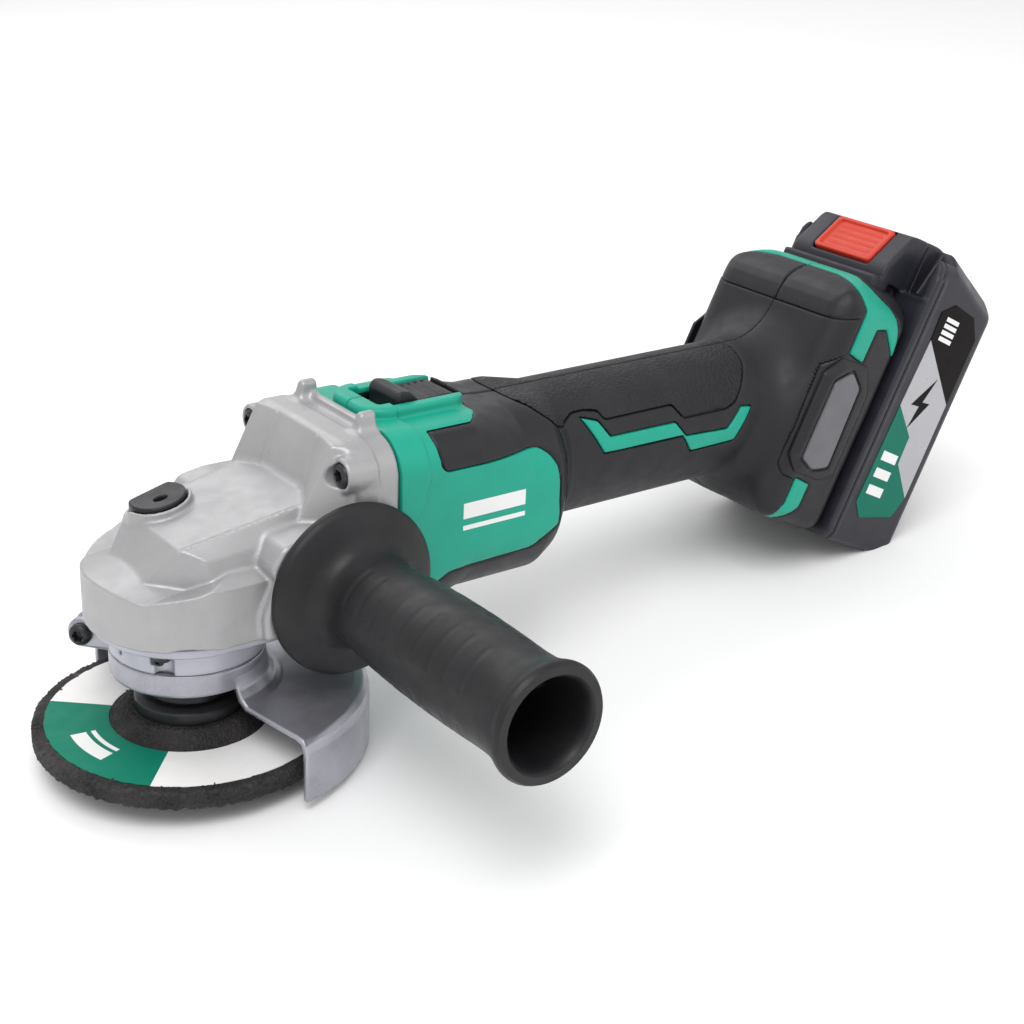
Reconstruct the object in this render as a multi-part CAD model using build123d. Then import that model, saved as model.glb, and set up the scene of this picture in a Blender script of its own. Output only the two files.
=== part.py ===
from build123d import *
import math
import os

# A cordless 100 mm angle grinder, in millimetres.
# +Z runs up along the wheel spindle, +X runs back along the motor to the battery, and the side handle
# points to -Y. The origin is the centre of the clamp nut's outer face, on the spindle axis.

# ---- driving dimensions ---------------------------------------------------------------------------
WHEEL_R = 50.0
WHEEL_THICK = 6.0
WHEEL_LOW = -1.0
WHEEL_DEPRESSION = 4.5
WHEEL_BORE_R = 8.0
HUB_LOW = WHEEL_LOW + WHEEL_DEPRESSION
HUB_TOP = HUB_LOW + WHEEL_THICK

THREAD_R = 5.0
SEAT_R = 6.0
SHOULDER_R = 8.0
JOURNAL_R = 4.0
FLANGE_TOP = 19.0
BEARING_LOW = 27.0
BEARING_TOP = 37.0
SPINDLE_TOP = 66.5

NECK_R = 21.9
NECK_LOW = 22.5
BOX_LOW = 36.5
HEAD_LOW = 42.5
HEAD_RIM = 61.7
HEAD_HALF = 32.0
HEAD_BACK = 58.0

MOTOR_Z = 64.0
CASE_HALF = 33.0
CASE_CORNER = 12.0
CASE_FRONT = 58.3
GRIP_R = 24.6
GRIP_Z = 70.3
SKIN = 1.4
WALL = 3.2

RING_TEETH = 30
PINION_TEETH = 9
RING_PITCH_R = 18.0
PINION_PITCH_R = RING_PITCH_R * PINION_TEETH / RING_TEETH
FACE_SHARE = 0.681

LOCK_PIN_R = 2.25
LOCK_PIN_X = -2.6
LOCK_PIN_Y = 8.6
LOCK_CIRCLE_R = math.hypot(LOCK_PIN_X, LOCK_PIN_Y)
BUTTON_X = -2.5
BUTTON_Y = 13.0
BUTTON_R = 9.6
BUTTON_BACK = 17.0
BUTTON_LOW = 73.3
BUTTON_TOP = 77.0
POCKET_FLOOR = 69.4
SPRING_SEAT = 63.5

GUARD_R = 58.0
GUARD_PLATE_TOP = 18.7
GUARD_LOW = -3.0
GUARD_SHEET = 2.0
COLLAR_R = 24.6
COLLAR_LOW = 23.8
COLLAR_TOP = 34.8
GUARD_FROM = -83.0
GUARD_TO = 100.0
EAR_ANGLE = 130.0

HANDLE_X = 38.5
HANDLE_Z = 54.5
BOSS_FACE = 36.0
HANDLE_THREAD_R = 4.0
HANDLE_END = 138.5

PACK_X = 249.3
PACK_Z = 23.1
PACK_TILT = 26.0
PACK_HALF = 37.2
FOOT_HALF = 36.0
CELL_R = 9.15
CELL_LENGTH = 65.0

os.makedirs("parts", exist_ok=True)


# ---- small helpers --------------------------------------------------------------------------------
def cyl_z(radius, low, high, x=0.0, y=0.0):
    return Pos(x, y, (low + high) / 2) * Cylinder(radius, high - low)


def cyl_x(radius, low, high, y=0.0, z=MOTOR_Z):
    return Pos((low + high) / 2, y, z) * Rot(0, 90, 0) * Cylinder(radius, high - low)


def cyl_y(radius, low, high, x=0.0, z=0.0):
    return Pos(x, (low + high) / 2, z) * Rot(90, 0, 0) * Cylinder(radius, high - low)


def tube_z(outer, inner, low, high):
    return cyl_z(outer, low, high) - cyl_z(inner, low - 1, high + 1)


def tube_x(outer, inner, low, high):
    return cyl_x(outer, low, high) - cyl_x(inner, low - 1, high + 1)


def block(x0, x1, y0, y1, z0, z1):
    return Pos((x0 + x1) / 2, (y0 + y1) / 2, (z0 + z1) / 2) * Box(x1 - x0, y1 - y0, z1 - z0)


def turned(points):
    """A solid of revolution about Z from (radius, height) points."""
    profile = make_face(Plane.XZ * Polyline(*points, close=True))
    return revolve(profile, Axis.Z)


def slab(points, half):
    """A plate in the XZ plane from (x, z) points, reaching half each side of y = 0."""
    outline = make_face(Plane.XZ * Polyline(*points, close=True))
    return extrude(outline, half, both=True)


def section(x, half, low, high, corner):
    """A rounded rectangle across X."""
    plane = Plane(origin=(x, 0, (low + high) / 2), x_dir=(0, 1, 0), z_dir=(1, 0, 0))
    return plane * RectangleRounded(2 * half, high - low, corner)


def d_face(radius, centre, back, z):
    """A plan with a half-round front of the given radius and a square back."""
    edges = [
        Line((centre, -radius), (back, -radius)),
        Line((back, -radius), (back, radius)),
        Line((back, radius), (centre, radius)),
        ThreePointArc((centre, radius), (centre - radius, 0), (centre, -radius)),
    ]
    return Pos(0, 0, z) * make_face(edges)


def in_pack(shape):
    """Moves a shape from the battery's own frame (x away from the tool, z along its rails)."""
    return Pos(PACK_X, 0, PACK_Z) * Rot(0, PACK_TILT, 0) * shape


def save(name, shape):
    solids = shape.solids()
    whole = solids[0] if len(solids) == 1 else Compound(children=list(solids))
    export_step(whole, f"parts/{name}.step")


# ---- wheel, spindle and gears ---------------------------------------------------------------------
def grinding_wheel():
    top = WHEEL_LOW + WHEEL_THICK
    bore = WHEEL_BORE_R + 0.6
    profile = [
        (bore, HUB_LOW), (19.0, HUB_LOW), (24.0, WHEEL_LOW), (WHEEL_R, WHEEL_LOW),
        (WHEEL_R, top), (25.0, top), (20.0, HUB_TOP), (bore, HUB_TOP),
    ]
    return turned(profile)


def wheel_bore_ring():
    return tube_z(WHEEL_BORE_R + 0.6, WHEEL_BORE_R, HUB_LOW, HUB_TOP)


def wheel_label():
    top = WHEEL_LOW + WHEEL_THICK
    return tube_z(46.0, 25.6, top, top + 0.3)


def lock_nut():
    nut = cyl_z(15.0, 0, HUB_LOW) + cyl_z(WHEEL_BORE_R - 0.1, HUB_LOW - 1, 6.0)
    nut -= cyl_z(THREAD_R, -1, 7)
    for corner in range(4):
        angle = math.radians(45 + 90 * corner)
        nut -= cyl_z(2.0, -1, 2.6, 10 * math.cos(angle), 10 * math.sin(angle))
    return nut


def inner_flange():
    profile = [
        (THREAD_R, 6.6), (WHEEL_BORE_R - 0.1, 6.6), (WHEEL_BORE_R - 0.1, HUB_TOP), (17.5, HUB_TOP),
        (17.5, 13.6), (15.5, 15.0), (13.0, 15.0), (12.0, FLANGE_TOP), (SEAT_R, FLANGE_TOP),
        (SEAT_R, 12.0), (THREAD_R, 12.0),
    ]
    return turned(profile)


def spindle():
    profile = [
        (0, 0.8), (THREAD_R - 0.8, 0.8), (THREAD_R, 1.6), (THREAD_R, 12.0), (SEAT_R, 12.0),
        (SEAT_R, FLANGE_TOP), (SHOULDER_R, FLANGE_TOP), (SHOULDER_R, BEARING_LOW), (SEAT_R, BEARING_LOW),
        (SEAT_R, 57.0), (JOURNAL_R, 57.0), (JOURNAL_R, SPINDLE_TOP), (0, SPINDLE_TOP),
    ]
    return turned(profile)


def tooth(pitch_r, pitch_x, addendum, dedendum, root_half, tip_half):
    """A straight bevel tooth with its apex at the origin, lying over +X at the given pitch circle."""
    cone = math.hypot(pitch_r, pitch_x)
    along = Vector(pitch_x / cone, 0, pitch_r / cone)
    out = Vector(-pitch_r / cone, 0, pitch_x / cone)
    side = Vector(0, 1, 0)
    foot = along * cone - out * dedendum
    crown = along * cone + out * addendum
    ring = [foot + side * root_half, crown + side * tip_half, crown - side * tip_half, foot - side * root_half]
    ends = []
    for share in (1.0, FACE_SHARE):
        corners = [point * share for point in ring]
        ends.append(make_face(Polyline(*corners, close=True)))
    return loft(ends, ruled=True)


def pinion_gear():
    outer_r = PINION_PITCH_R - 0.95
    back = RING_PITCH_R + 1.3
    profile = [
        (3.0, RING_PITCH_R * FACE_SHARE), (outer_r * FACE_SHARE, RING_PITCH_R * FACE_SHARE),
        (outer_r, RING_PITCH_R + 0.28), (outer_r + 0.6, back), (6.0, back), (6.0, 28.0), (3.0, 28.0),
    ]
    gear = Rot(0, 90, 0) * turned(profile)
    one = tooth(PINION_PITCH_R, RING_PITCH_R, 1.15, 1.3, 1.05, 0.32)
    for number in range(PINION_TEETH):
        gear += Rot(360 / PINION_TEETH * number, 0, 0) * one
    gear -= Pos(20, 0, 0) * Rot(0, 90, 0) * Cylinder(3.0, 40)
    return Pos(0, 0, MOTOR_Z) * gear


def ring_gear():
    root_r = RING_PITCH_R - 0.43
    root_drop = PINION_PITCH_R + 1.44
    profile = [
        (SEAT_R, BEARING_TOP), (9.0, BEARING_TOP), (9.0, 49.0), (17.0, 53.0), (root_r, MOTOR_Z - root_drop),
        (root_r * FACE_SHARE, MOTOR_Z - root_drop * FACE_SHARE), (root_r * FACE_SHARE, 57.0), (SEAT_R, 57.0),
    ]
    gear = turned(profile)
    one = tooth(-PINION_PITCH_R, RING_PITCH_R, 0.6, 1.7, 0.98, 0.42)
    for number in range(RING_TEETH):
        gear += Rot(0, 0, 360 / RING_TEETH * number) * Pos(0, 0, MOTOR_Z) * one
    hole = cyl_z(LOCK_PIN_R + 0.3, 50.5, 60.0, LOCK_CIRCLE_R)
    bearing = math.degrees(math.atan2(LOCK_PIN_Y, LOCK_PIN_X))
    for number in range(4):
        gear -= Rot(0, 0, bearing + 90 * number) * hole
    return gear


def ball_bearing(bore, outside, width):
    """Outer and inner rings of a sealed ball bearing about Z, from z = 0 up."""
    split = (bore + outside) / 2
    outer = tube_z(outside, split + 0.1, 0, width)
    inner = tube_z(split - 0.1, bore, 0, width)
    return outer, inner


# ---- guard ----------------------------------------------------------------------------------------
def sector(outer, inner, low, high, start, end):
    """Part of a ring between two angles, in degrees."""
    ring = tube_z(outer, inner, low, high)
    reach = 2 * outer
    steps = 6
    angles = [math.radians(start + (end - start) * step / steps) for step in range(steps + 1)]
    wedge = [(0.0, 0.0)]
    for angle in angles:
        wedge.append((reach * math.cos(angle), reach * math.sin(angle)))
    mask = extrude(make_face(Polyline(*wedge, close=True)), high + 1)
    mask += mirror(mask, Plane.XY)
    return ring & mask


def wheel_guard():
    plate_low = GUARD_PLATE_TOP - GUARD_SHEET
    guard = sector(GUARD_R, GUARD_R - GUARD_SHEET, GUARD_LOW, GUARD_PLATE_TOP, GUARD_FROM, GUARD_TO)
    guard += sector(GUARD_R, COLLAR_R, plate_low, GUARD_PLATE_TOP, GUARD_FROM, GUARD_TO)
    rise = [
        (NECK_R + 0.1, COLLAR_LOW), (COLLAR_R + 0.4, plate_low), (COLLAR_R + 5.4, plate_low),
        (COLLAR_R + 5.4, GUARD_PLATE_TOP), (COLLAR_R, COLLAR_LOW + 1.6), (NECK_R + 0.1, COLLAR_LOW + 1.6),
    ]
    guard += turned(rise) & sector(GUARD_R, 1, 0, 40, GUARD_FROM, GUARD_TO)
    guard += tube_z(COLLAR_R, NECK_R + 0.1, COLLAR_LOW, COLLAR_TOP)
    ear = Rot(0, 0, EAR_ANGLE) * block(NECK_R + 1, 34.5, -4.5, 4.5, 25.2, 35.2)
    ear += Rot(0, 0, EAR_ANGLE) * Pos(34.5, 0, 30.2) * Rot(90, 0, 0) * Cylinder(5.0, 9.0)
    ear -= cyl_z(NECK_R + 0.1, 20, 40)
    guard += ear
    slot = Rot(0, 0, EAR_ANGLE) * block(NECK_R - 1, 41, -1.5, 1.5, 20, 40)
    guard -= slot
    return guard - Rot(0, 0, EAR_ANGLE) * Pos(34.5, 0, 30.2) * Rot(90, 0, 0) * Cylinder(2.0, 20)


def guard_clamp_screw():
    screw = Pos(0, 2, 0) * Rot(90, 0, 0) * Cylinder(2.0, 16.0)
    screw += Pos(0, 6.4, 0) * Rot(90, 0, 0) * Cylinder(3.6, 3.6)
    screw -= Pos(0, 7.6, 0) * Rot(90, 0, 0) * extrude(RegularPolygon(1.7, 6), 4.0, both=True)
    screw += Pos(0, -6.2, 0) * Rot(90, 0, 0) * extrude(RegularPolygon(3.6, 6), 1.6, both=True)
    return Rot(0, 0, EAR_ANGLE) * Pos(34.5, 0, 30.2) * screw


# ---- gear head ------------------------------------------------------------------------------------
def head_section(x, top, top_half, shoulder, shoulder_half, foot_half):
    """One section across the upper head: a flat top, sloping shoulders and nearly upright flanks."""
    corners = [(top_half, top), (shoulder_half, shoulder), (foot_half, min(65.3, shoulder - 0.5)), (foot_half, 60.0)]
    outline = corners + [(-y, z) for y, z in reversed(corners)]
    plane = Plane(origin=(x, 0, 0), x_dir=(0, 1, 0), z_dir=(1, 0, 0))
    return plane * make_face(Polyline(*outline, close=True))


def head_outside():
    body = extrude(d_face(HEAD_HALF, 0, 44.0, HEAD_LOW), 65.3 - HEAD_LOW)
    body -= slab([(-19.4, HEAD_RIM), (-33.0, 60.2), (-33.0, 70.0), (-19.4, 70.0)], 40.0)
    for side in (-1, 1):
        bevel = make_face(Polyline((28.7, 65.4), (33.0, 61.1), (33.0, 65.4), close=True))
        bevel = Plane(origin=(-40, 0, 0), x_dir=(0, side, 0), z_dir=(side, 0, 0)) * bevel
        body -= extrude(bevel, 80.0 * side)
    upper = [
        head_section(-19.4, HEAD_RIM, 14.0, 61.0, 17.0, 19.0),
        head_section(-10.5, 71.6, 18.2, 69.8, 26.5, 28.2),
        head_section(33.0, 80.0, 22.0, 73.5, 28.2, 28.7),
    ]
    body += loft(upper, ruled=True)
    step = [
        section(30.0, 23.0, HEAD_LOW + 2, 79.3, 5.0),
        section(40.0, 31.5, 33.0, 96.0, 11.0),
        section(44.0, CASE_HALF, 32.0, 97.5, CASE_CORNER),
        section(HEAD_BACK, CASE_HALF, 31.0, 97.0, CASE_CORNER),
    ]
    body += loft(step, ruled=True)
    body += cyl_y(13.0, -BOSS_FACE, BOSS_FACE, HANDLE_X, HANDLE_Z)
    for side in (-1, 1):
        body += block(47.5, 56.5, side * 18 - 2.5, side * 18 + 2.5, 90.0, 103.4)
        for height in (39.5, 89.0):
            body += cyl_x(5.5, 37.5, HEAD_BACK, side * 28.5, height)
    return body


def button_outline(gap, low, high):
    """The lock button's D shape, grown by gap."""
    return cyl_z(BUTTON_R + gap, low, high, BUTTON_X, BUTTON_Y) & block(-20, 20, -5, BUTTON_BACK + gap, low, high)


def gear_housing():
    body = head_outside()
    body -= turned([(0, HEAD_LOW - 1), (19.2, HEAD_LOW - 1), (19.2, 59.7), (12.5, 61.5), (0, 61.5)])
    body -= cyl_z(5.5, 59.0, SPINDLE_TOP + 0.6)
    body -= cyl_x(9.0, 9.0, 31.0)
    body -= cyl_x(11.0, 31.0, 42.0)
    body -= cyl_x(28.0, 41.0, HEAD_BACK + 1)
    body -= cyl_z(LOCK_PIN_R + 0.1, 55.0, 90.0, LOCK_PIN_X, LOCK_PIN_Y)
    body -= cyl_z(3.6, SPRING_SEAT, 90.0, LOCK_PIN_X, LOCK_PIN_Y)
    body -= button_outline(0.4, POCKET_FLOOR, 95.0)
    body -= cyl_y(HANDLE_THREAD_R + 0.05, -BOSS_FACE - 1, -20.4, HANDLE_X, HANDLE_Z)
    body -= cyl_y(HANDLE_THREAD_R + 0.05, 20.4, BOSS_FACE + 1, HANDLE_X, HANDLE_Z)
    for side in (-1, 1):
        for height in (39.5, 89.0):
            body -= cyl_x(2.2, 30.0, HEAD_BACK + 1, side * 28.5, height)
            body -= cyl_x(4.2, 20.0, 41.0, side * 28.5, height)
        body -= cyl_z(1.6, HEAD_LOW - 1, 52.0, 24.0, side * 25.0)
        body -= cyl_z(1.6, HEAD_LOW - 1, 52.0, -17.5, side * 18.5)
    for number in range(4):
        low = 46.0 + 6 * number
        body -= block(53.0, 56.5, -40.0, 40.0, low, low + 3.0)
    return body


def bearing_box():
    body = extrude(d_face(29.6, 0, 29.0, BOX_LOW), HEAD_LOW - BOX_LOW)
    body += cyl_z(NECK_R, NECK_LOW, BOX_LOW)
    body -= cyl_z(13.0, NECK_LOW - 1, BEARING_LOW)
    body -= cyl_z(16.0, BEARING_LOW, BEARING_TOP)
    body -= cyl_z(19.3, BEARING_TOP, HEAD_LOW + 1)
    for side in (-1, 1):
        body -= cyl_z(1.7, BOX_LOW - 1, HEAD_LOW + 1, 24.0, side * 25.0)
        body -= cyl_z(1.7, BOX_LOW - 1, HEAD_LOW + 1, -17.5, side * 18.5)
        body -= cyl_z(3.2, BOX_LOW - 1, BOX_LOW + 2.6, 24.0, side * 25.0)
        body -= cyl_z(3.2, BOX_LOW - 1, BOX_LOW + 2.6, -17.5, side * 18.5)
    return body


def bearing_box_screws():
    screws = []
    for x, y in ((24.0, 25.0), (24.0, -25.0), (-17.5, 18.5), (-17.5, -18.5)):
        screw = cyl_z(3.0, BOX_LOW + 0.2, BOX_LOW + 2.6, x, y) + cyl_z(1.6, BOX_LOW + 2, 51.5, x, y)
        screws.append(screw - Pos(x, y, BOX_LOW) * extrude(RegularPolygon(1.3, 6), 1.6))
    return Compound(children=screws)


def gear_housing_screws():
    screws = []
    for y in (-28.5, 28.5):
        for z in (39.5, 89.0):
            screw = cyl_x(4.0, 37.6, 41.0, y, z) + cyl_x(2.1, 40.0, 72.0, y, z)
            screw -= block(36.0, 39.2, y - 2.4, y + 2.4, z - 0.5, z + 0.5)
            screws.append(screw - block(36.0, 39.2, y - 0.5, y + 0.5, z - 2.4, z + 2.4))
    return Compound(children=screws)


def bearing_retainer():
    ring = tube_z(19.1, 13.2, BEARING_TOP, BEARING_TOP + 2.0)
    for number in range(4):
        ring -= Rot(0, 0, 90 * number + 45) * block(17.0, 20.0, -1.2, 1.2, 36.0, 40.0)
    return ring


def dust_seal():
    return tube_z(13.0, SHOULDER_R + 0.3, NECK_LOW + 0.5, BEARING_LOW - 0.5)


def spindle_top_bush():
    return tube_z(5.5, JOURNAL_R + 0.05, 60.5, SPINDLE_TOP + 0.4)


# ---- spindle lock ---------------------------------------------------------------------------------
def spindle_lock_button():
    cap = button_outline(0, BUTTON_LOW, BUTTON_TOP)
    cap = fillet(cap.edges().group_by(Axis.Z)[-1], 1.0)
    cap -= cyl_z(2.0, BUTTON_TOP - 0.8, BUTTON_TOP + 1, BUTTON_X + 0.5, BUTTON_Y - 2.5)
    return cap - cyl_z(LOCK_PIN_R, BUTTON_LOW - 1, BUTTON_LOW + 2.0, LOCK_PIN_X, LOCK_PIN_Y)


def spindle_lock_pin():
    return cyl_z(LOCK_PIN_R, 58.0, BUTTON_LOW + 2.0, LOCK_PIN_X, LOCK_PIN_Y)


def spindle_lock_spring():
    turns = 4
    wire_r = 0.3
    rise = BUTTON_LOW - SPRING_SEAT - 2 * wire_r - 0.1
    path = Pos(LOCK_PIN_X, LOCK_PIN_Y, SPRING_SEAT + wire_r)
    path *= Helix(pitch=rise / turns, height=rise, radius=2.95)
    start = path.location_at(0)
    plane = Plane(origin=start.position, z_dir=path.tangent_at(0))
    return sweep(plane * Circle(wire_r), path=path)


# ---- motor ----------------------------------------------------------------------------------------
def motor_shaft():
    return cyl_x(3.0, 12.4, 31.0) + cyl_x(JOURNAL_R, 31.0, 113.5) + cyl_x(3.0, 113.5, 120.5)


def fan():
    body = tube_x(7.5, JOURNAL_R, 44.0, 56.0) + tube_x(26.0, JOURNAL_R, 54.5, 56.0)
    blade = block(45.5, 55.0, -0.7, 0.7, MOTOR_Z + 7.0, MOTOR_Z + 25.6)
    for number in range(11):
        turn = Pos(0, 0, MOTOR_Z) * Rot(360 / 11 * number, 0, 0) * Pos(0, 0, -MOTOR_Z)
        body += turn * blade
    return body


def rotor_core():
    return tube_x(12.2, JOURNAL_R, 73.0, 103.0)


def rotor_magnets():
    ring = tube_x(14.6, 12.2, 73.0, 103.0)
    magnets = []
    for number in range(4):
        turn = Pos(0, 0, MOTOR_Z) * Rot(90 * number, 0, 0) * Pos(0, 0, -MOTOR_Z)
        quarter = block(72.0, 104.0, 0.8, 30.0, MOTOR_Z + 0.8, MOTOR_Z + 30.0)
        magnets.append(ring & (turn * quarter))
    return Compound(children=magnets)


def stator_core():
    core = tube_x(25.5, 21.5, 73.5, 102.5)
    tip = tube_x(17.2, 15.2, 73.5, 102.5)
    for number in range(6):
        turn = Pos(0, 0, MOTOR_Z) * Rot(60 * number, 0, 0) * Pos(0, 0, -MOTOR_Z)
        core += turn * block(73.5, 102.5, -3.0, 3.0, MOTOR_Z + 16.0, MOTOR_Z + 22.5)
        core += tip & (turn * block(73.0, 103.0, -6.5, 6.5, MOTOR_Z + 12.0, MOTOR_Z + 20.0))
    return core


def stator_windings():
    coils = []
    for number in range(6):
        turn = Pos(0, 0, MOTOR_Z) * Rot(60 * number, 0, 0) * Pos(0, 0, -MOTOR_Z)
        coil = block(69.5, 106.5, -6.0, 6.0, MOTOR_Z + 17.5, MOTOR_Z + 20.4)
        coil -= block(73.3, 102.7, -3.2, 3.2, MOTOR_Z + 15.0, MOTOR_Z + 23.0)
        coils.append(turn * fillet(coil.edges().filter_by(Axis.Z).group_by(Axis.X)[0], 2.0))
    return Compound(children=coils)


def sensor_board():
    return tube_x(23.0, 8.5, 109.0, 110.6)


def air_baffle():
    return tube_x(27.0, 20.0, 60.0, 62.0) + tube_x(21.5, 20.0, 61.0, 67.0)


# ---- side handle ----------------------------------------------------------------------------------
def side_handle_grip():
    start = BOSS_FACE + 0.3
    profile = [
        (HANDLE_THREAD_R, start), (28.5, start), (28.5, start + 2.2), (26.5, start + 4.6), (17.5, start + 7.0),
        (15.0, start + 12.0), (16.2, start + 30.0), (17.0, start + 60.0), (16.2, start + 86.0),
        (16.6, HANDLE_END - 8.0), (18.6, HANDLE_END - 2.0), (17.6, HANDLE_END), (14.0, HANDLE_END),
        (13.4, HANDLE_END - 10.0), (13.0, start + 62.0), (HANDLE_THREAD_R, start + 62.0),
    ]
    grip = turned(profile)
    web = block(-1.1, 1.1, -13.2, 13.2, start + 61.0, HANDLE_END - 26.0)
    return Pos(HANDLE_X, 0, HANDLE_Z) * Rot(90, 0, 0) * (grip + web)


def side_handle_stud():
    return cyl_y(HANDLE_THREAD_R, -74.0, -21.4, HANDLE_X, HANDLE_Z)


# ---- housing --------------------------------------------------------------------------------------
def casing(shrink, front):
    """The whole outer form of the plastic housing, moved inward by shrink, from x = front back."""
    sections = [
        section(front, CASE_HALF - shrink, 31 + shrink, 97 - shrink, CASE_CORNER - 0.6 * shrink),
        section(118, CASE_HALF - 0.5 - shrink, 30.5 + shrink, 97 - shrink, CASE_CORNER + 2 - 0.6 * shrink),
    ]
    radius = GRIP_R - shrink
    taper = section(148, radius, GRIP_Z - radius, GRIP_Z + radius, radius - 1)
    waist = section(203, radius, GRIP_Z - radius, GRIP_Z + radius, radius - 1)
    body = loft(sections, ruled=True)
    body += loft([sections[1], taper], ruled=True)
    body += loft([taper, waist], ruled=True)
    body += loft([waist, in_pack(foot_face(-36.5 + shrink, 5 + shrink, 66 - shrink, shrink))], ruled=True)
    return body


def foot_face(offset, low, high, shrink):
    """A rounded rectangle across the foot, square to the battery rails' normal."""
    plane = Plane(origin=(offset, 0, (low + high) / 2), x_dir=(0, 1, 0), z_dir=(1, 0, 0))
    return plane * RectangleRounded(2 * (34.5 - shrink), high - low, 12 - 0.6 * shrink)


def foot(shrink, back):
    """The block that carries the battery rails, in the battery's frame, from its front face to back."""
    points = [
        (-38 + shrink, 6 + shrink), (-38 + shrink, 86 - shrink), (-26 + shrink / 2, 96 - shrink),
        (back, 96 - shrink), (back, shrink), (-32 + shrink / 2, shrink),
    ]
    body = slab(points, FOOT_HALF - shrink)
    return fillet(body.edges().filter_by(Axis.Z), 7.0 - shrink)


def switch_pad():
    """The raised surround of the thumb switch."""
    return slab([(61.0, 94.0), (61.0, 99.0), (64.0, 101.0), (98.5, 101.0), (104.0, 95.0)], 13.0)


def screw_places():
    """(x, z, reach) of each screw that joins the halves; reach is its length each side of y = 0."""
    places = [(66.0, 38.0, 24.0), (117.0, 38.0, 24.0), (127.0, 82.0, 20.0)]
    places += [(152.0, 54.5, 13.0), (192.0, 54.5, 13.0)]
    for out, up in ((-28.5, 10.5), (-28.5, 87.5)):
        spot = in_pack(Location((out, 0, up))).position
        places.append((spot.X, spot.Z, 28.0))
    return places


def rail_slot():
    """The room that the battery's rail block slides in, in the battery's frame."""
    room = block(-18.6, -7.6, -24.6, 24.6, 1.0, 120.0)
    room += block(-8.0, 2.0, -20.6, 20.6, 1.0, 120.0)
    return room


def housing():
    """Both halves of the housing as one body, before it is split at y = 0."""
    outer = casing(0, CASE_FRONT) + in_pack(foot(0, 0)) + switch_pad()
    inner = casing(WALL, CASE_FRONT - 2) + in_pack(foot(WALL, -21.4))
    body = outer - inner
    body += tube_x(40.0, 9.5, 114.0, 120.5) & inner
    for low in (76.0, 97.0):
        body += tube_x(50.0, 25.5, low, low + 3) & inner
    for x, z, reach in screw_places():
        body += cyl_y(4.2, -40, 40, x, z) & inner
    for side in (-1, 1):
        for height in (39.5, 89.0):
            body += cyl_x(4.6, CASE_FRONT, 74.0, side * 28.5, height) & outer
            body -= cyl_x(2.15, CASE_FRONT - 2, 72.5, side * 28.5, height)
    body -= in_pack(rail_slot())
    body -= block(65.2, 97.4, -9.4, 9.4, 90.0, 110.0)
    body -= block(62.5, 104.0, -11.4, 11.4, 92.0, 94.6)
    body -= block(75.0, 124.0, -3.6, 3.6, 88.6, 94.6)
    body -= block(110.0, 124.0, -12.0, 12.0, 44.0, 52.0)
    for side in (-1, 1):
        body -= in_pack(cyl_x(2.3, -23.0, -17.0, side * 12.0, 5.5))
        for number in range(5):
            x = 80.0 + 6.0 * number
            body -= block(x, x + 3.0, side * 12 - 7, side * 12 + 7, 25.0, 36.0)
    for x, z, reach in screw_places():
        body -= cyl_y(1.95, -reach - 0.5, reach, x, z)
        body -= cyl_y(3.7, reach - 9.0, 60.0, x, z)
    return body


def cover_region():
    """Where the soft overmould lies: over the grip and the front of the foot."""
    region = block(128.0, 260.0, -60, 60, 0, 140)
    return region & in_pack(block(-160, -24.0, -60, 60, -40, 140))


def overmould():
    outer = casing(0, CASE_FRONT) + in_pack(foot(0, 0))
    below = casing(SKIN, CASE_FRONT - 2) + in_pack(foot(SKIN, 4))
    skin = (outer - below) & cover_region()
    for x, z, reach in screw_places():
        skin -= cyl_y(3.7, reach - 9.0, 60.0, x, z)
    return skin


def half(shape, side):
    keep = block(0, 400, 0, 100, -50, 200) if side > 0 else block(0, 400, -100, 0, -50, 200)
    return shape & keep


def body_screws():
    screws = []
    for x, z, reach in screw_places():
        screw = cyl_y(1.9, -reach, reach - 8.0, x, z) + cyl_y(3.5, reach - 9.0, reach - 6.6, x, z)
        screws.append(screw - cyl_y(1.2, reach - 8.0, reach, x, z))
    return Compound(children=screws)


def side_badges():
    plate = slab([(-22.0, 24.0), (-17.0, 20.0), (-10.0, 26.0), (-10.0, 66.0), (-16.0, 72.0), (-22.0, 64.0)], 1.2)
    near = in_pack(Pos(0, -FOOT_HALF - 1.2, 0) * plate)
    far = in_pack(Pos(0, FOOT_HALF + 1.2, 0) * plate)
    return Compound(children=[near, far])


# ---- switch ---------------------------------------------------------------------------------------
def switch_knob():
    top = [
        (72.6, 95.0), (72.6, 102.6), (75.0, 104.0), (79.0, 103.6), (83.0, 101.6), (94.0, 102.2),
        (96.6, 101.2), (96.6, 95.0),
    ]
    knob = slab(top, 8.8)
    return knob + block(71.0, 102.0, -11.0, 11.0, 92.6, 94.2) + block(72.6, 96.6, -8.8, 8.8, 93.0, 96.0)


def switch_link():
    route = [
        (94.0, 90.2), (94.0, 92.6), (124.0, 92.2), (140.0, 88.4), (160.4, 85.4), (160.4, 83.0), (140.0, 86.0),
        (123.0, 90.0),
    ]
    return slab(route, 2.8)


def switch_block():
    body = block(161.4, 186.0, -9.0, 9.0, 73.5, 86.0)
    return body + block(165.0, 169.0, -3.0, 3.0, 86.0, 87.6)


# ---- electronics ----------------------------------------------------------------------------------
def controller_tray():
    tray = block(-34.4, -22.4, -27.0, 27.0, 17.0, 80.0)
    return in_pack(tray - block(-36.0, -24.4, -25.0, 25.0, 19.0, 78.0))


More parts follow.
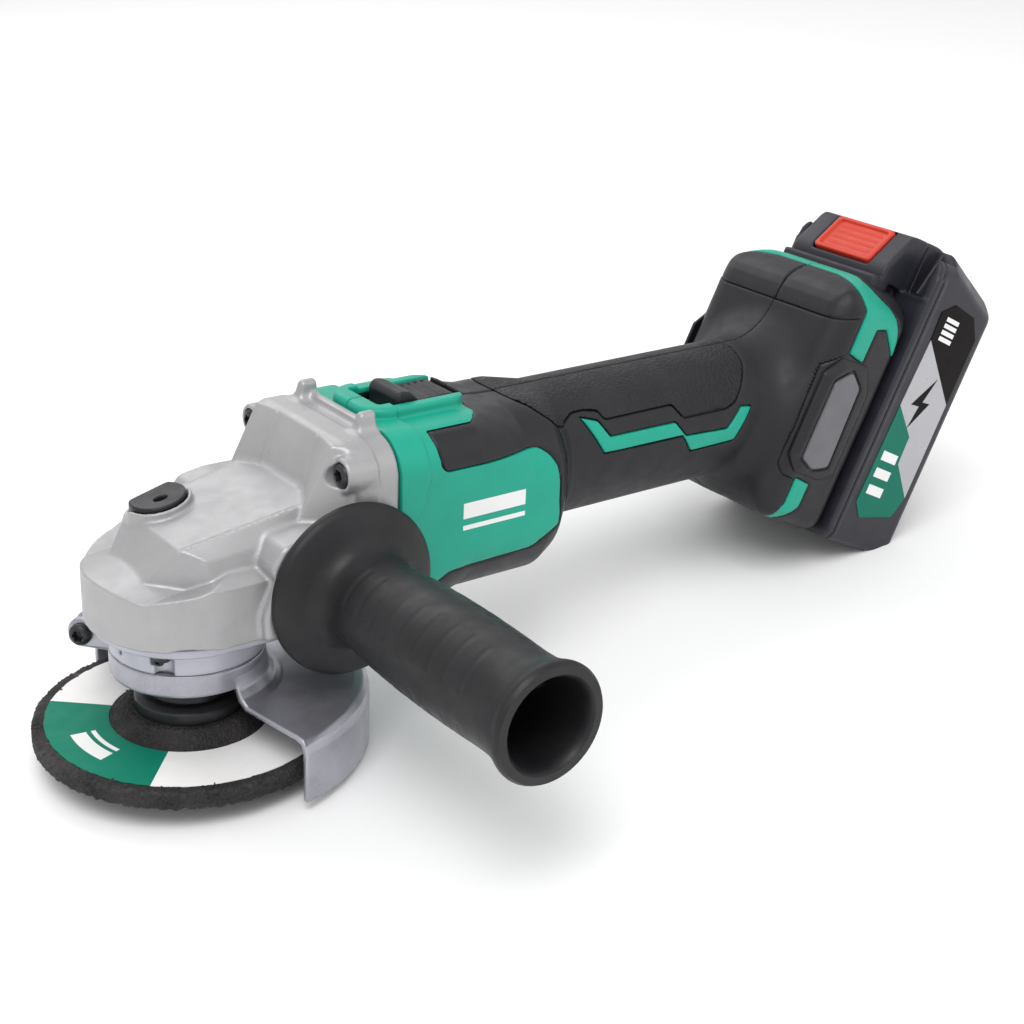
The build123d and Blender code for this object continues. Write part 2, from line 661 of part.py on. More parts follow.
def controller_board():
    board = block(-31.0, -29.4, -24.6, 24.6, 19.4, 77.6)
    for number in range(6):
        y = -20.0 + 8.0 * number
        board += block(-29.4, -27.4, y - 2.5, y + 2.5, 22.0, 28.0)
    board += block(-29.4, -25.0, -10.0, 10.0, 40.0, 52.0)
    return in_pack(board)


def lead(points, radius):
    arcs = [9.0] * (len(points) - 2)
    path = FilletPolyline(*points, radius=arcs)
    plane = Plane(origin=path.position_at(0), z_dir=path.tangent_at(0))
    return sweep(plane * Circle(radius), path=path)


def power_leads():
    tray_end = in_pack(Location((-34.6, 0, 30.0))).position
    leads = []
    for number in (-1, 0, 1):
        y = 5.0 * number
        points = [(110.8, y, 48.0), (126.0, y, 50.0), (150.0, y, 62.5), (196.0, y, 63.0),
                  (tray_end.X, y, tray_end.Z)]
        leads.append(lead(points, 1.4))
    for side in (-1, 1):
        leads.append(in_pack(cyl_x(1.8, -22.2, -18.6, side * 12.0, 5.5)))
    return Compound(children=leads)


def terminal_block():
    body = block(-18.4, -2.4, -20.2, 20.2, 1.2, 10.6)
    for number in range(4):
        y = -12.0 + 8.0 * number
        body -= block(-12.2, -5.8, y - 0.4, y + 0.4, 5.0, 12.0)
    return in_pack(body)


def terminal_blades():
    blades = []
    for number in range(4):
        y = -12.0 + 8.0 * number
        blades.append(in_pack(block(-12.2, -5.8, y - 0.4, y + 0.4, 5.0, 25.0)))
    return Compound(children=blades)


# ---- battery --------------------------------------------------------------------------------------
def battery_outside():
    points = [
        (0.4, 0), (0.4, 98), (-14, 98), (-14, 103), (-5, 118.5), (12, 119.5), (26, 115), (44, 109.5),
        (44, 10), (31, 1),
    ]
    return slab(points, PACK_HALF)


def rail_block():
    block_in = block(-18.0, -8.2, -24.0, 24.0, 12.0, 99.0)
    return block_in + block(-9.0, 0.6, -20.0, 20.0, 12.0, 99.0)


def in_button(shape):
    """Lays a shape on the battery's upper front chamfer: x goes in, square to it, and z up along it."""
    return Pos(-9.5, 0, 110.75) * Rot(0, 30.2, 0) * shape


def case_screw_places():
    return [(side * 28.0, 103.4) for side in (-1, 1)]


def battery_case_front():
    body = battery_outside() + rail_block()
    body &= block(-40, 4.0, -60, 60, -10, 140)
    body -= block(1.6, 5.0, -35.0, 35.0, 3.0, 96.5)
    body -= block(-15.6, 2.0, -17.6, 17.6, 27.0, 96.0)
    body -= in_button(block(-12.0, 8.5, -15.0, 15.0, -9.0, 9.0))
    for number in range(4):
        y = -12.0 + 8.0 * number
        body -= block(-13.4, -4.6, y - 1.4, y + 1.4, 11.0, 28.7)
    for y, z in case_screw_places():
        body -= cyl_x(1.5, -6.0, 5.0, y, z)
    return in_pack(body)


def battery_case_back():
    body = battery_outside() & block(4.0, 60.0, -60, 60, -10, 140)
    room = slab([(3, 3), (30.4, 3), (41.9, 11), (41.9, 107), (3, 107)], 34.8)
    body -= room
    for y, z in case_screw_places():
        body += cyl_x(3.5, 4.0, 43.0, y, z)
        body -= cyl_x(1.6, 3.0, 32.0, y, z)
        body -= cyl_x(2.9, 30.0, 60.0, y, z)
    return in_pack(body)


def battery_release_button():
    button = block(-0.6, 5.0, -14.6, 14.6, -8.6, 8.6)
    for number in range(4):
        button -= block(-1.0, -0.1, -10.0, 10.0, -5.6 + 3.0 * number, -4.8 + 3.0 * number)
    return in_pack(in_button(button))


def cell_place(row, column):
    return 13.9 + 18.4 * row, 15.7 + 18.5 * column


def battery_cells():
    cells = []
    for row in range(2):
        for column in range(5):
            x, z = cell_place(row, column)
            cell = cyl_y(CELL_R, -CELL_LENGTH / 2, CELL_LENGTH / 2, x, z)
            cells.append(in_pack(cell))
    return Compound(children=cells)


def cell_holders():
    frames = []
    for side in (-1, 1):
        low = 27.0 if side > 0 else -31.0
        outline = slab([(4.2, 3.4), (30.2, 3.4), (41.6, 11.3), (41.6, 99.6), (4.2, 99.6)], 40.0)
        frame = outline & block(0.0, 50.0, low, low + 4.0, 0.0, 110.0)
        for row in range(2):
            for column in range(5):
                x, z = cell_place(row, column)
                frame -= cyl_y(CELL_R + 0.02, low - 1, low + 5, x, z)
        frames.append(frame)
    return in_pack(Compound(children=frames))


def battery_board():
    board = block(-1.6, 0.0, -17.0, 17.0, 30.0, 90.0)
    board += block(0.0, 1.2, -10.0, 10.0, 50.0, 62.0)
    return in_pack(board)


def battery_contacts():
    clips = []
    for number in range(4):
        y = -12.0 + 8.0 * number
        clip = block(-12.0, -6.0, y - 1.3, y - 0.55, 14.0, 28.6)
        clip += block(-12.0, -6.0, y + 0.55, y + 1.3, 14.0, 28.6)
        clip += block(-12.0, -6.0, y - 1.3, y + 1.3, 27.6, 28.6)
        clips.append(in_pack(clip))
    return Compound(children=clips)


def battery_labels():
    outline = [(8.0, 14.0), (18.0, 14.0), (24.0, 20.0), (33.0, 82.0), (30.0, 96.0), (24.0, 99.0), (13.0, 88.0),
               (5.0, 22.0)]
    plate = slab(outline, 0.15)
    return Compound(children=[in_pack(Pos(0, side * (PACK_HALF + 0.15), 0) * plate) for side in (-1, 1)])


def battery_case_screws():
    screws = []
    for y, z in case_screw_places():
        screws.append(in_pack(cyl_x(1.45, -5.0, 31.0, y, z) + cyl_x(2.7, 30.0, 32.4, y, z)))
    return Compound(children=screws)


# ---- writing --------------------------------------------------------------------------------------
def bearing_nodes():
    outer, inner = ball_bearing(SEAT_R, 16.0, BEARING_TOP - BEARING_LOW)
    save("spindle_bearing_outer", Pos(0, 0, BEARING_LOW) * outer)
    save("spindle_bearing_inner", Pos(0, 0, BEARING_LOW) * inner)
    lay = Pos(31.2, 0, MOTOR_Z) * Rot(0, 90, 0)
    outer, inner = ball_bearing(JOURNAL_R, 11.0, 7.0)
    save("front_bearing_outer", lay * outer)
    save("front_bearing_inner", lay * inner)
    lay = Pos(114.2, 0, MOTOR_Z) * Rot(0, 90, 0)
    outer, inner = ball_bearing(3.0, 9.5, 6.0)
    save("rear_bearing_outer", lay * outer)
    save("rear_bearing_inner", lay * inner)


def main():
    makers = [
        grinding_wheel, wheel_bore_ring, wheel_label, lock_nut, inner_flange, spindle, pinion_gear, ring_gear,
        wheel_guard, guard_clamp_screw, gear_housing, bearing_box, bearing_box_screws, gear_housing_screws,
        bearing_retainer, dust_seal, spindle_top_bush, spindle_lock_button, spindle_lock_pin,
        spindle_lock_spring, motor_shaft, fan, rotor_core, rotor_magnets, stator_core, stator_windings,
        sensor_board, air_baffle, side_handle_grip, side_handle_stud, body_screws, side_badges, switch_knob,
        switch_link, switch_block, controller_tray, controller_board, power_leads, terminal_block,
        terminal_blades, battery_case_front, battery_case_back, battery_release_button, battery_cells, cell_holders,
        battery_board, battery_contacts, battery_labels, battery_case_screws,
    ]
    for maker in makers:
        save(maker.__name__, maker())
    bearing_nodes()
    whole = housing()
    skin = overmould()
    bare = whole - skin
    save("housing_right", half(bare, -1))
    save("housing_left", half(bare, 1))
    save("grip_cover_right", half(skin, -1))
    save("grip_cover_left", half(skin, 1))


main()
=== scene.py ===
import math
from functools import reduce

import bpy
import numpy as np
from mathutils import Matrix, Vector


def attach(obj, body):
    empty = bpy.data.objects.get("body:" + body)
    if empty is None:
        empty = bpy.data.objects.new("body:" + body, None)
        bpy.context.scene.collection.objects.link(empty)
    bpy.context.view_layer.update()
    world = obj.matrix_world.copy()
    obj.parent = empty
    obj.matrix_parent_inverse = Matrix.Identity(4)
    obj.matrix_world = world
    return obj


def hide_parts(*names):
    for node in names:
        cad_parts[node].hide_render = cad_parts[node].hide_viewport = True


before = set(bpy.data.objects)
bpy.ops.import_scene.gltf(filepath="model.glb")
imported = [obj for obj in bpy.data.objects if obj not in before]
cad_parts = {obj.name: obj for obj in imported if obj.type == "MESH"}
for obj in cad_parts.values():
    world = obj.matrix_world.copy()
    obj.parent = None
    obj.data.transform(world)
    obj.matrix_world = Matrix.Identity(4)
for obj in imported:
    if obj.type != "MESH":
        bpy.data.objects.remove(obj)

# A cordless angle grinder. Shapes are worked out in millimetres in the row frame: +Z up the wheel
# spindle, +X back to the battery, -Y towards the side handle. Cast, moulded and rubber pieces are
# sampled distance fields, turned pieces are profiles swept round an axis.

MM = 0.001
HOUSING_FRONT = 58.3
CASE_HALF = 33.0
PACK_X, PACK_Z, PACK_TILT = 249.3, 23.1, math.radians(26.0)
PACK_COS, PACK_SIN = math.cos(PACK_TILT), math.sin(PACK_TILT)
PACK_HALF, FOOT_HALF = 37.2, 36.0
HEAD_R = 32.0
HANDLE_X, HANDLE_Z, HANDLE_FACE = 38.5, 54.5, 36.3
WHEEL_R, WHEEL_BORE, PAPER_TOP = 50.0, 8.7, 5.3
RIM_LOW, RIM_TOP, HUB_LOW, HUB_TOP = -1.0, 5.0, 3.5, 9.5
GUARD_R, GUARD_TOP, GUARD_LOW = 58.0, 18.7, -3.0
GUARD_FROM, GUARD_TO, EAR_ANGLE = -83.0, 100.0, 130.0
EAR_R, EAR_Z = 34.5, 30.2
DRUM_R, DRUM_LOW = 24.8, 31.15
DRUM_SCREW_ANGLE, DRUM_SCREW_Z = -138.0, 35.8
HEAD_LOW, SPINDLE_BUSH_TOP, MOTOR_Z = 42.5, 67.1, 64.0
LOCK_X, LOCK_Y, LOCK_SEAT = -2.6, 8.6, 63.5
HEAD_SCREW_Y, HEAD_SCREW_HEIGHTS = 28.4, (39.5, 89.0)
BOX_SCREWS = ((24.0, 25.0), (-17.5, 18.5))
SIDES = ((-1, "right"), (1, "left"))

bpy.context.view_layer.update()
scene = bpy.context.scene

# ---- distance fields
def common(a, b, r):
    """The common part of two shapes, its edge rounded to radius r."""
    return np.minimum(-r, np.maximum(a, b)) + np.hypot(np.maximum(a + r, 0), np.maximum(b + r, 0))

def union(a, b, r):
    """Two shapes together, with a fillet of radius r where they meet."""
    return np.maximum(r, np.minimum(a, b)) - np.hypot(np.maximum(r - a, 0), np.maximum(r - b, 0))

def meet(*shapes):
    """The common part of any number of shapes, with sharp edges."""
    return reduce(np.maximum, shapes)

def join(*shapes):
    """Any number of shapes together, with sharp edges."""
    return reduce(np.minimum, shapes)

def cut(a, b, r=0.3):
    """Shape a without shape b."""
    return common(a, -b, r)

def outline(points, u, v):
    """The signed distance to a flat closed outline."""
    points = np.asarray(points, float)
    best = np.full(np.broadcast(u, v).shape, 1e9)
    sign = np.ones(best.shape)
    for k in range(len(points)):
        a, b = points[k], points[k - 1]
        edge = b - a
        du, dv = u - a[0], v - a[1]
        t = np.clip((du * edge[0] + dv * edge[1]) / (edge @ edge), 0, 1)
        best = np.minimum(best, (du - edge[0] * t) ** 2 + (dv - edge[1] * t) ** 2)
        turn = edge[0] * dv - edge[1] * du
        up = (v >= a[1]) & (v < b[1]) & (turn < 0)
        down = (v < a[1]) & (v >= b[1]) & (turn > 0)
        sign = np.where(up | down, -sign, sign)
    return sign * np.sqrt(best)

def bend(before, corner, after, radius, arc):
    """The points of one rounded corner."""
    back, on = before - corner, after - corner
    reach = min(radius, 0.45 * np.linalg.norm(back), 0.45 * np.linalg.norm(on))
    a, b = corner + back / np.linalg.norm(back) * reach, corner + on / np.linalg.norm(on) * reach
    return [(1 - w) ** 2 * a + 2 * w * (1 - w) * corner + w ** 2 * b for w in np.linspace(0, 1, arc + 1)]

def soft(points, radius, arc=4):
    """A closed outline with its corners rounded."""
    points = [np.array(p, float) for p in points]
    path = []
    for k, corner in enumerate(points):
        path += bend(points[k - 1], corner, points[(k + 1) % len(points)], radius, arc)
    return path

def eased(points, radius, arc=5):
    """An open path with its corners rounded."""
    points = [np.array(p, float) for p in points]
    path = [points[0]]
    for before, corner, after in zip(points, points[1:], points[2:]):
        path += bend(before, corner, after, radius, arc)
    return path + [points[-1]]

def box2(u, v, half_u, half_v, r):
    """A rounded rectangle."""
    qu, qv = np.abs(u) - half_u + r, np.abs(v) - half_v + r
    return np.hypot(np.maximum(qu, 0), np.maximum(qv, 0)) + np.minimum(np.maximum(qu, qv), 0) - r

def rod(u, v, radius, u0=0.0, v0=0.0):
    """A round rod along the third axis."""
    return np.hypot(u - u0, v - v0) - radius

def between(u, low, high):
    """The space between two planes."""
    return np.maximum(low - u, u - high)

def to_pack(x, z):
    """The battery's own axes: t away from the tool, s up along the rails."""
    dx, dz = x - PACK_X, z - PACK_Z
    return dx * PACK_COS - dz * PACK_SIN, dx * PACK_SIN + dz * PACK_COS

def from_pack(t, y, s):
    """A point given in the battery's own axes, in the row frame."""
    return PACK_X + t * PACK_COS + s * PACK_SIN, y, PACK_Z - t * PACK_SIN + s * PACK_COS

FOOT_SCREWS = [from_pack(-28.5, 0, s) for s in (10.5, 87.5)]
SCREW_PLACES = [(66.0, 38.0, 24.0), (117.0, 38.0, 24.0), (127.0, 82.0, 20.0), (152.0, 54.5, 13.0),
                (192.0, 54.5, 13.0)] + [(x, z, 28.0) for x, _, z in FOOT_SCREWS]

def surface(field, origin, step):
    """The zero level of a sampled field: corner points, and faces of four corners."""
    shape = field.shape
    crossings, quads = [], []
    for axis in range(3):
        near, far = [slice(None)] * 3, [slice(None)] * 3
        near[axis], far[axis] = slice(0, -1), slice(1, None)
        a, b = field[tuple(near)], field[tuple(far)]
        u, v = (axis + 1) % 3, (axis + 2) % 3
        spots = np.argwhere((a < 0) != (b < 0))
        spots = spots[(spots[:, u] > 0) & (spots[:, v] > 0)]
        va, vb = a[tuple(spots.T)], b[tuple(spots.T)]
        place = spots.astype(float)
        place[:, axis] += va / (va - vb)
        cells = []
        for du, dv in ((1, 1), (0, 1), (0, 0), (1, 0)):
            cell = spots.copy()
            cell[:, u] -= du
            cell[:, v] -= dv
            cells.append(np.ravel_multi_index(cell.T, shape))
        cells = np.stack(cells, 1)
        cells[va >= 0] = cells[va >= 0][:, ::-1]
        quads.append(cells)
        crossings.append(np.repeat(place, 4, axis=0))
    quads, crossings = np.concatenate(quads), np.concatenate(crossings)
    index = np.unique(quads.ravel(), return_inverse=True)[1]
    count = np.bincount(index)
    points = np.stack([np.bincount(index, crossings[:, k]) / count for k in range(3)], 1)
    return origin + points * step, index.reshape(-1, 4)

# ---- pieces
def piece(name, body, materials, points, faces, nodes=(), crease=None, tints=None):
    """A mesh object in the row frame, made from points in millimetres."""
    mesh = bpy.data.meshes.new(name)
    mesh.from_pydata((np.asarray(points, float) * MM).tolist(), [], [list(map(int, f)) for f in faces])
    for material in materials if isinstance(materials, (list, tuple)) else [materials]:
        mesh.materials.append(material)
    if tints is not None:
        mesh.polygons.foreach_set("material_index", np.asarray(tints, dtype=np.int32))
    mesh.polygons.foreach_set("use_smooth", [True] * len(mesh.polygons))
    if crease:
        mesh.set_sharp_from_angle(angle=math.radians(crease))
    mesh.validate()
    mesh.update()
    if not crease:
        flat_normals(mesh)
    obj = bpy.data.objects.new(name, mesh)
    scene.collection.objects.link(obj)
    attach(obj, body)
    if nodes:
        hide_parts(*nodes)
    return obj

def flat_normals(mesh):
    """Vertex normals led by the largest faces, so flat faces shade flat and their edges crisp."""
    total = np.zeros((len(mesh.vertices), 3))
    for face in mesh.polygons:
        total[list(face.vertices)] += np.array(face.normal) * face.area
    length = np.linalg.norm(total, axis=1, keepdims=True)
    mesh.normals_split_custom_set_from_vertices((total / np.maximum(length, 1e-20)).tolist())

def thinned(points, quads, share):
    """The same surface with fewer faces, fewest where it is flat."""
    mesh = bpy.data.meshes.new("thin")
    mesh.from_pydata(points.tolist(), [], quads.tolist())
    obj = bpy.data.objects.new("thin", mesh)
    scene.collection.objects.link(obj)
    modifier = obj.modifiers.new("thin", "DECIMATE")
    modifier.ratio = share
    done = obj.evaluated_get(bpy.context.evaluated_depsgraph_get()).to_mesh()
    out = np.zeros(3 * len(done.vertices), np.float32)
    done.vertices.foreach_get("co", out)
    faces = [tuple(p.vertices) for p in done.polygons]
    bpy.data.objects.remove(obj)
    return out.reshape(-1, 3), faces

def sculpt(name, body, material, shape, low, high, step=0.6, nodes=(), share=0.5, mirror=False):
    """A piece from a distance field, sampled in the box from low to high."""
    axes = [np.arange(a - 1.6 * step, b + 1.7 * step, step) for a, b in zip(low, high)]
    field = shape(*np.ix_(*axes))
    field = np.ascontiguousarray(np.broadcast_to(field, [len(a) for a in axes]), dtype=np.float32)
    points, faces = surface(field, np.array([a[0] for a in axes]), step)
    if share < 1:
        points, faces = thinned(points, faces, share)
    if mirror:
        points = points * np.array([1, -1, 1])
        faces = [tuple(reversed(f)) for f in faces]
    return piece(name, body, material, points, faces, nodes)

def ring_faces(rows, columns):
    """Faces between successive rings of points."""
    faces = []
    for r in range(rows - 1):
        for c in range(columns):
            d = (c + 1) % columns
            faces.append((r * columns + c, r * columns + d, (r + 1) * columns + d, (r + 1) * columns + c))
    return faces

def turned(profile, steps=128):
    """Points and faces of a profile of (radius, height) swept round the Z axis."""
    angles = np.arange(steps) * 2 * math.pi / steps
    points = [(r * math.cos(a), r * math.sin(a), h) for r, h in profile for a in angles]
    return np.array(points), ring_faces(len(profile), steps)

def turned_piece(name, body, material, profile, place, nodes=(), steps=128, crease=35):
    """A turned piece, put in place by a matrix."""
    points, faces = turned(profile, steps)
    points = np.array([place @ Vector(p) for p in points])
    return piece(name, body, material, points, faces, nodes, crease)

# ---- materials
def finish(name, colour, rough, metal=0.0, grain=0.25, depth=0.03, tone=0.12, wear=0.0, shine=0.5,
           cells=False):
    """A procedural finish. grain is the size of its texture and depth the bump's height, in mm."""
    material = bpy.data.materials.new(name)
    material.use_nodes = True
    tree = material.node_tree
    link = tree.links.new
    shader = tree.nodes["Principled BSDF"]
    shader.inputs["Metallic"].default_value = metal
    shader.inputs["Specular IOR Level"].default_value = shine
    place = tree.nodes.new("ShaderNodeTexCoord").outputs["Object"]

    def noise(size, detail=3.0):
        node = tree.nodes.new("ShaderNodeTexNoise")
        node.inputs["Scale"].default_value = 1.0 / (size * MM)
        node.inputs["Detail"].default_value = detail
        link(place, node.inputs["Vector"])
        return node.outputs["Fac"]

    def spread(value, low, high, bottom=0.35, top=0.65):
        node = tree.nodes.new("ShaderNodeMapRange")
        node.inputs["From Min"].default_value = bottom
        node.inputs["From Max"].default_value = top
        node.inputs["To Min"].default_value = low
        node.inputs["To Max"].default_value = high
        link(value, node.inputs["Value"])
        return node.outputs["Result"]

    def mixed(factor, first, second):
        node = tree.nodes.new("ShaderNodeMix")
        node.data_type = "RGBA"
        link(factor, node.inputs["Factor"])
        for socket, value in (("A", first), ("B", second)):
            target = [i for i in node.inputs if i.name == socket and i.type == "RGBA"][0]
            if isinstance(value, tuple):
                target.default_value = (*value, 1)
            else:
                link(value, target)
        return [o for o in node.outputs if o.type == "RGBA"][0]

    dark = tuple(c * (1 - tone) for c in colour)
    light = tuple(min(1.0, c * (1 + tone)) for c in colour)
    blotch = noise(18.0, 5.0)
    shade = mixed(spread(blotch, 0, 1), dark, light)
    fine = noise(grain, 2.0)
    shade = mixed(spread(fine, 0, 0.5), shade, light)
    if wear:
        edge = tree.nodes.new("ShaderNodeNewGeometry").outputs["Pointiness"]
        pale = tuple(min(1.0, 0.5 * c + 0.35) for c in colour)
        shade = mixed(spread(edge, 0, wear, 0.53, 0.62), shade, pale)
    link(shade, shader.inputs["Base Color"])
    link(spread(noise(6.0, 4.0), rough - 0.06, rough + 0.06), shader.inputs["Roughness"])
    bump = tree.nodes.new("ShaderNodeBump")
    bump.inputs["Distance"].default_value = depth * MM
    bump.inputs["Strength"].default_value = 0.9
    if cells:
        grid = tree.nodes.new("ShaderNodeTexVoronoi")
        grid.inputs["Scale"].default_value = 1.0 / (grain * MM)
        link(place, grid.inputs["Vector"])
        link(grid.outputs["Distance"], bump.inputs["Height"])
    else:
        link(fine, bump.inputs["Height"])
    link(bump.outputs["Normal"], shader.inputs["Normal"])
    return material

CAST = finish("cast_aluminium", (0.37, 0.367, 0.375), 0.42, 0.4, 0.55, 0.06, 0.07)
ZINC = finish("zinc_sheet", (0.37, 0.37, 0.415), 0.34, 0.75, 0.9, 0.03, 0.14)
MACHINED = finish("machined_aluminium", (0.45, 0.455, 0.51), 0.4, 0.5, 0.6, 0.03, 0.08)
GREEN = finish("green_plastic", (0.005, 0.325, 0.225), 0.42, 0, 0.35, 0.02, 0.05, shine=0.35)
BLACK = finish("black_plastic", (0.012, 0.012, 0.015), 0.42, 0, 0.35, 0.03, 0.1, shine=0.35)
RUBBER = finish("soft_rubber", (0.014, 0.014, 0.017), 0.5, 0, 0.5, 0.05, 0.1, shine=0.32)
TEXTURE = finish("textured_rubber", (0.014, 0.014, 0.017), 0.55, 0, 1.2, 0.45, 0.2, shine=0.32, cells=True)
HANDLE = finish("handle_rubber", (0.0105, 0.0105, 0.012), 0.46, 0, 0.6, 0.06, 0.3, shine=0.35)
BATTERY = finish("battery_plastic", (0.016, 0.016, 0.024), 0.4, 0, 0.35, 0.03, 0.08, shine=0.4)
RED = finish("red_plastic", (0.57, 0.045, 0.022), 0.38, 0, 0.4, 0.02, 0.06, shine=0.35)
GREY = finish("badge_grey", (0.127, 0.124, 0.138), 0.42, 0.2, 0.4, 0.03, 0.08)
FILM_GREEN = finish("label_green", (0.003, 0.15, 0.1), 0.34, 0, 0.5, 0.004, 0.05, shine=0.15)
FILM_SILVER = finish("label_silver", (0.42, 0.42, 0.44), 0.32, 0.3, 0.5, 0.004, 0.04, shine=0.35)
FILM_BLACK = finish("label_black", (0.004, 0.002, 0.002), 0.4, 0, 0.5, 0.004, 0.1, shine=0.1)
PAPER = finish("wheel_paper_white", (0.84, 0.83, 0.82), 0.6, 0, 0.6, 0.02, 0.05)
MARK_WHITE = finish("mark_white", (0.8, 0.8, 0.8), 0.45, 0, 0.6, 0.005, 0.03)
PAPER_GREEN = finish("wheel_paper_green", (0.003, 0.19, 0.12), 0.55, 0, 0.6, 0.02, 0.05, shine=0.15)
GRIT = finish("abrasive_grit", (0.02, 0.018, 0.018), 0.8, 0, 0.8, 0.5, 0.9, wear=0.12, cells=True)
STEEL = finish("bright_steel", (0.55, 0.55, 0.56), 0.25, 1.0, 0.5, 0.01, 0.1)
DARK_STEEL = finish("black_steel", (0.035, 0.035, 0.038), 0.36, 0.5, 0.5, 0.02, 0.2, wear=0.05)
LAMINATION = finish("stator_steel", (0.35, 0.35, 0.36), 0.4, 0.9, 0.4, 0.03, 0.1)
MAGNET = finish("magnet", (0.2, 0.2, 0.21), 0.35, 0.9, 0.5, 0.01, 0.1)
COPPER = finish("copper_wire", (0.72, 0.3, 0.13), 0.3, 0.9, 0.4, 0.08, 0.15)
BRONZE = finish("bronze", (0.5, 0.32, 0.14), 0.4, 0.9, 0.4, 0.02, 0.1)
BOARD = finish("circuit_board", (0.02, 0.16, 0.06), 0.4, 0, 1.0, 0.02, 0.2)
LEAD = finish("lead_insulation", (0.5, 0.03, 0.02), 0.45, 0, 0.5, 0.02, 0.1)
SEAL = finish("seal_rubber", (0.02, 0.02, 0.02), 0.7, 0, 0.4, 0.03, 0.1)
WRAP = finish("cell_wrap", (0.05, 0.2, 0.45), 0.35, 0, 0.5, 0.01, 0.08)

SLOT_LOOKS = {
    "cast_head": CAST, "guard_zinc": ZINC, "green_plastic": GREEN, "soft_grip": RUBBER,
    "black_plastic": BLACK, "handle_plastic": HANDLE, "battery_plastic": BATTERY, "red_plastic": RED,
    "badge_grey": GREY, "label_film": FILM_SILVER, "wheel_paper": PAPER, "abrasive": GRIT, "steel": STEEL,
    "dark_steel": DARK_STEEL, "lamination": LAMINATION, "magnet": MAGNET, "copper": COPPER,
    "bronze": BRONZE, "circuit_board": BOARD, "lead_insulation": LEAD, "seal_rubber": SEAL,
    "cell_wrap": WRAP,
}

def dress_cad_nodes():
    """Gives each CAD node the finish of its material slot."""
    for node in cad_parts.values():
        for holder in node.material_slots:
            holder.material = SLOT_LOOKS[holder.material.name.split(".")[0]]

# ---- gear head
def slope(x):
    """The height of the head's sloping top face."""
    return 71.6 + 0.192 * (x + 10.5)

def raised_top(x, wide, z):
    """The head's raised top: a sloping plate with a bevelled band and steep flanks and corners."""
    top_y, top_z = 18.2 + 0.09 * (x + 10.5), slope(x)
    low_y, low_z = 23.5 + 0.037 * (x + 7.5), 68.4 + 0.082 * (x + 7.5)
    front = -0.744 * x + 0.669 * z - 55.7
    corner = -0.633 * x + 0.762 * wide + 0.138 * z - 30.5
    bevel = (z - top_z - (low_z - top_z) * (wide - top_y) / (low_y - top_y)) * 0.75
    flank = (wide - low_y - 0.3 * (low_z - z)) * 0.96
    top = (z - top_z) / 1.02
    for face in (front, bevel, flank, corner):
        top = common(top, face, 0.3)
    groove = meet(np.abs(wide - top_y + 0.6) - 0.35, np.abs(z - top_z) - 0.4)
    return cut(top, groove, 0.25)

def gear_cover(x, y, z):
    """The front of the head: a ledge round the rim, a shoulder at each side, and the raised top."""
    wide = np.abs(y)
    wall = np.where(x < 0, np.hypot(x, y), wide) - HEAD_R
    ledge = 61.8 + 0.1 * np.minimum(x + 19.4, 20) - 0.0075 * y * y
    shoulder = ledge + 0.57 * (wide - 21.0) + 0.21 * np.maximum(x + 10.4, 0)
    shoulder = join(shoulder, join(64.1, 64.1 - 0.35 * (wide - 26.0)))
    lower = join(z - ledge, meet((z - shoulder) * 0.85, 20.0 - wide))
    body = common(wall, union(lower, raised_top(x, wide, z), 0.9), 0.4)
    return meet(body, HEAD_LOW - z, x - 44.0)

def motor_flange(x, y, z):
    """The square back of the head, with a ribbed step rising to it."""
    wide = np.abs(y)
    block = box2(y, z - 64.25, 33.0, 33.25, 12.0)
    lift = np.clip((z - 78.5) / 17.5, -0.3, 1.2)
    notch = np.clip(wide - 12.2, 0, 10.0)
    face = 34.5 + 5.9 * lift - (0.51 - 0.32 * lift) * notch + 1.43 * np.maximum(wide - 23.5, 0)
    rib = 0.9 * np.exp(-((wide - 12.4) / 0.8) ** 2)
    step = common(common(block, (face - rib - x) * 0.85, 0.8), x - 50.0, 0.1)
    step = meet(step, 64.0 - z)
    ring = common(common(block, 42.0 - x, 1.5), x - HOUSING_FRONT + 0.2, 0.8)
    return union(step, ring, 1.5)

def with_bosses(body, x, y, z):
    """Adds the handle bosses, the two lugs over the top and the rim between them."""
    wide = np.abs(y)
    border = soft([(8.5, 51), (13, 61.4), (11, 66), (15.6, 72.7), (25, 74.2), (46, 74), (58, 68), (58, 45),
                   (46, 42.6), (9, 42.6)], 2.0)
    boss = common(outline(border, x, z), wide - 35.6, 1.8)
    body = union(body, meet(boss, 20.0 - wide), 1.6)
    body = union(body, meet(rod(x, z, 13.0, HANDLE_X, HANDLE_Z), wide - 35.9), 1.5)
    lug = box2(wide - 17.9, z - 97.4, 2.5 - 0.12 * (z - 97.4), 6.6, 1.6)
    lug = common(lug, between(x, 50.6 + 0.25 * (z - 97), 57.9), 1.2)
    body = union(body, lug, 3.0)
    rim = common(box2(y, z - 96.0, 17.0, 3.6, 2.0), between(x, 54.8, 58.0), 0.8)
    return union(body, rim, 1.5)

def with_screw_seats(body, x, y, z):
    """Adds the corner screws' seats and cuts the cooling vents."""
    wide = np.abs(y)
    for height in HEAD_SCREW_HEIGHTS:
        place = common(rod(wide, z, 5.6, HEAD_SCREW_Y, height), 39.3 - x, 0.8)
        body = union(body, meet(place, x - 50.0), 1.2)
        body = cut(body, meet(rod(wide, z, 4.15, HEAD_SCREW_Y, height), x - 41.6), 0.4)
    for row in range(4):
        vent = common(box2(x - 54.75, z - 47.5 - 6 * row, 1.75, 1.5, 0.6), 27.0 - wide, 0.1)
        body = cut(body, vent, 0.3)
    return body

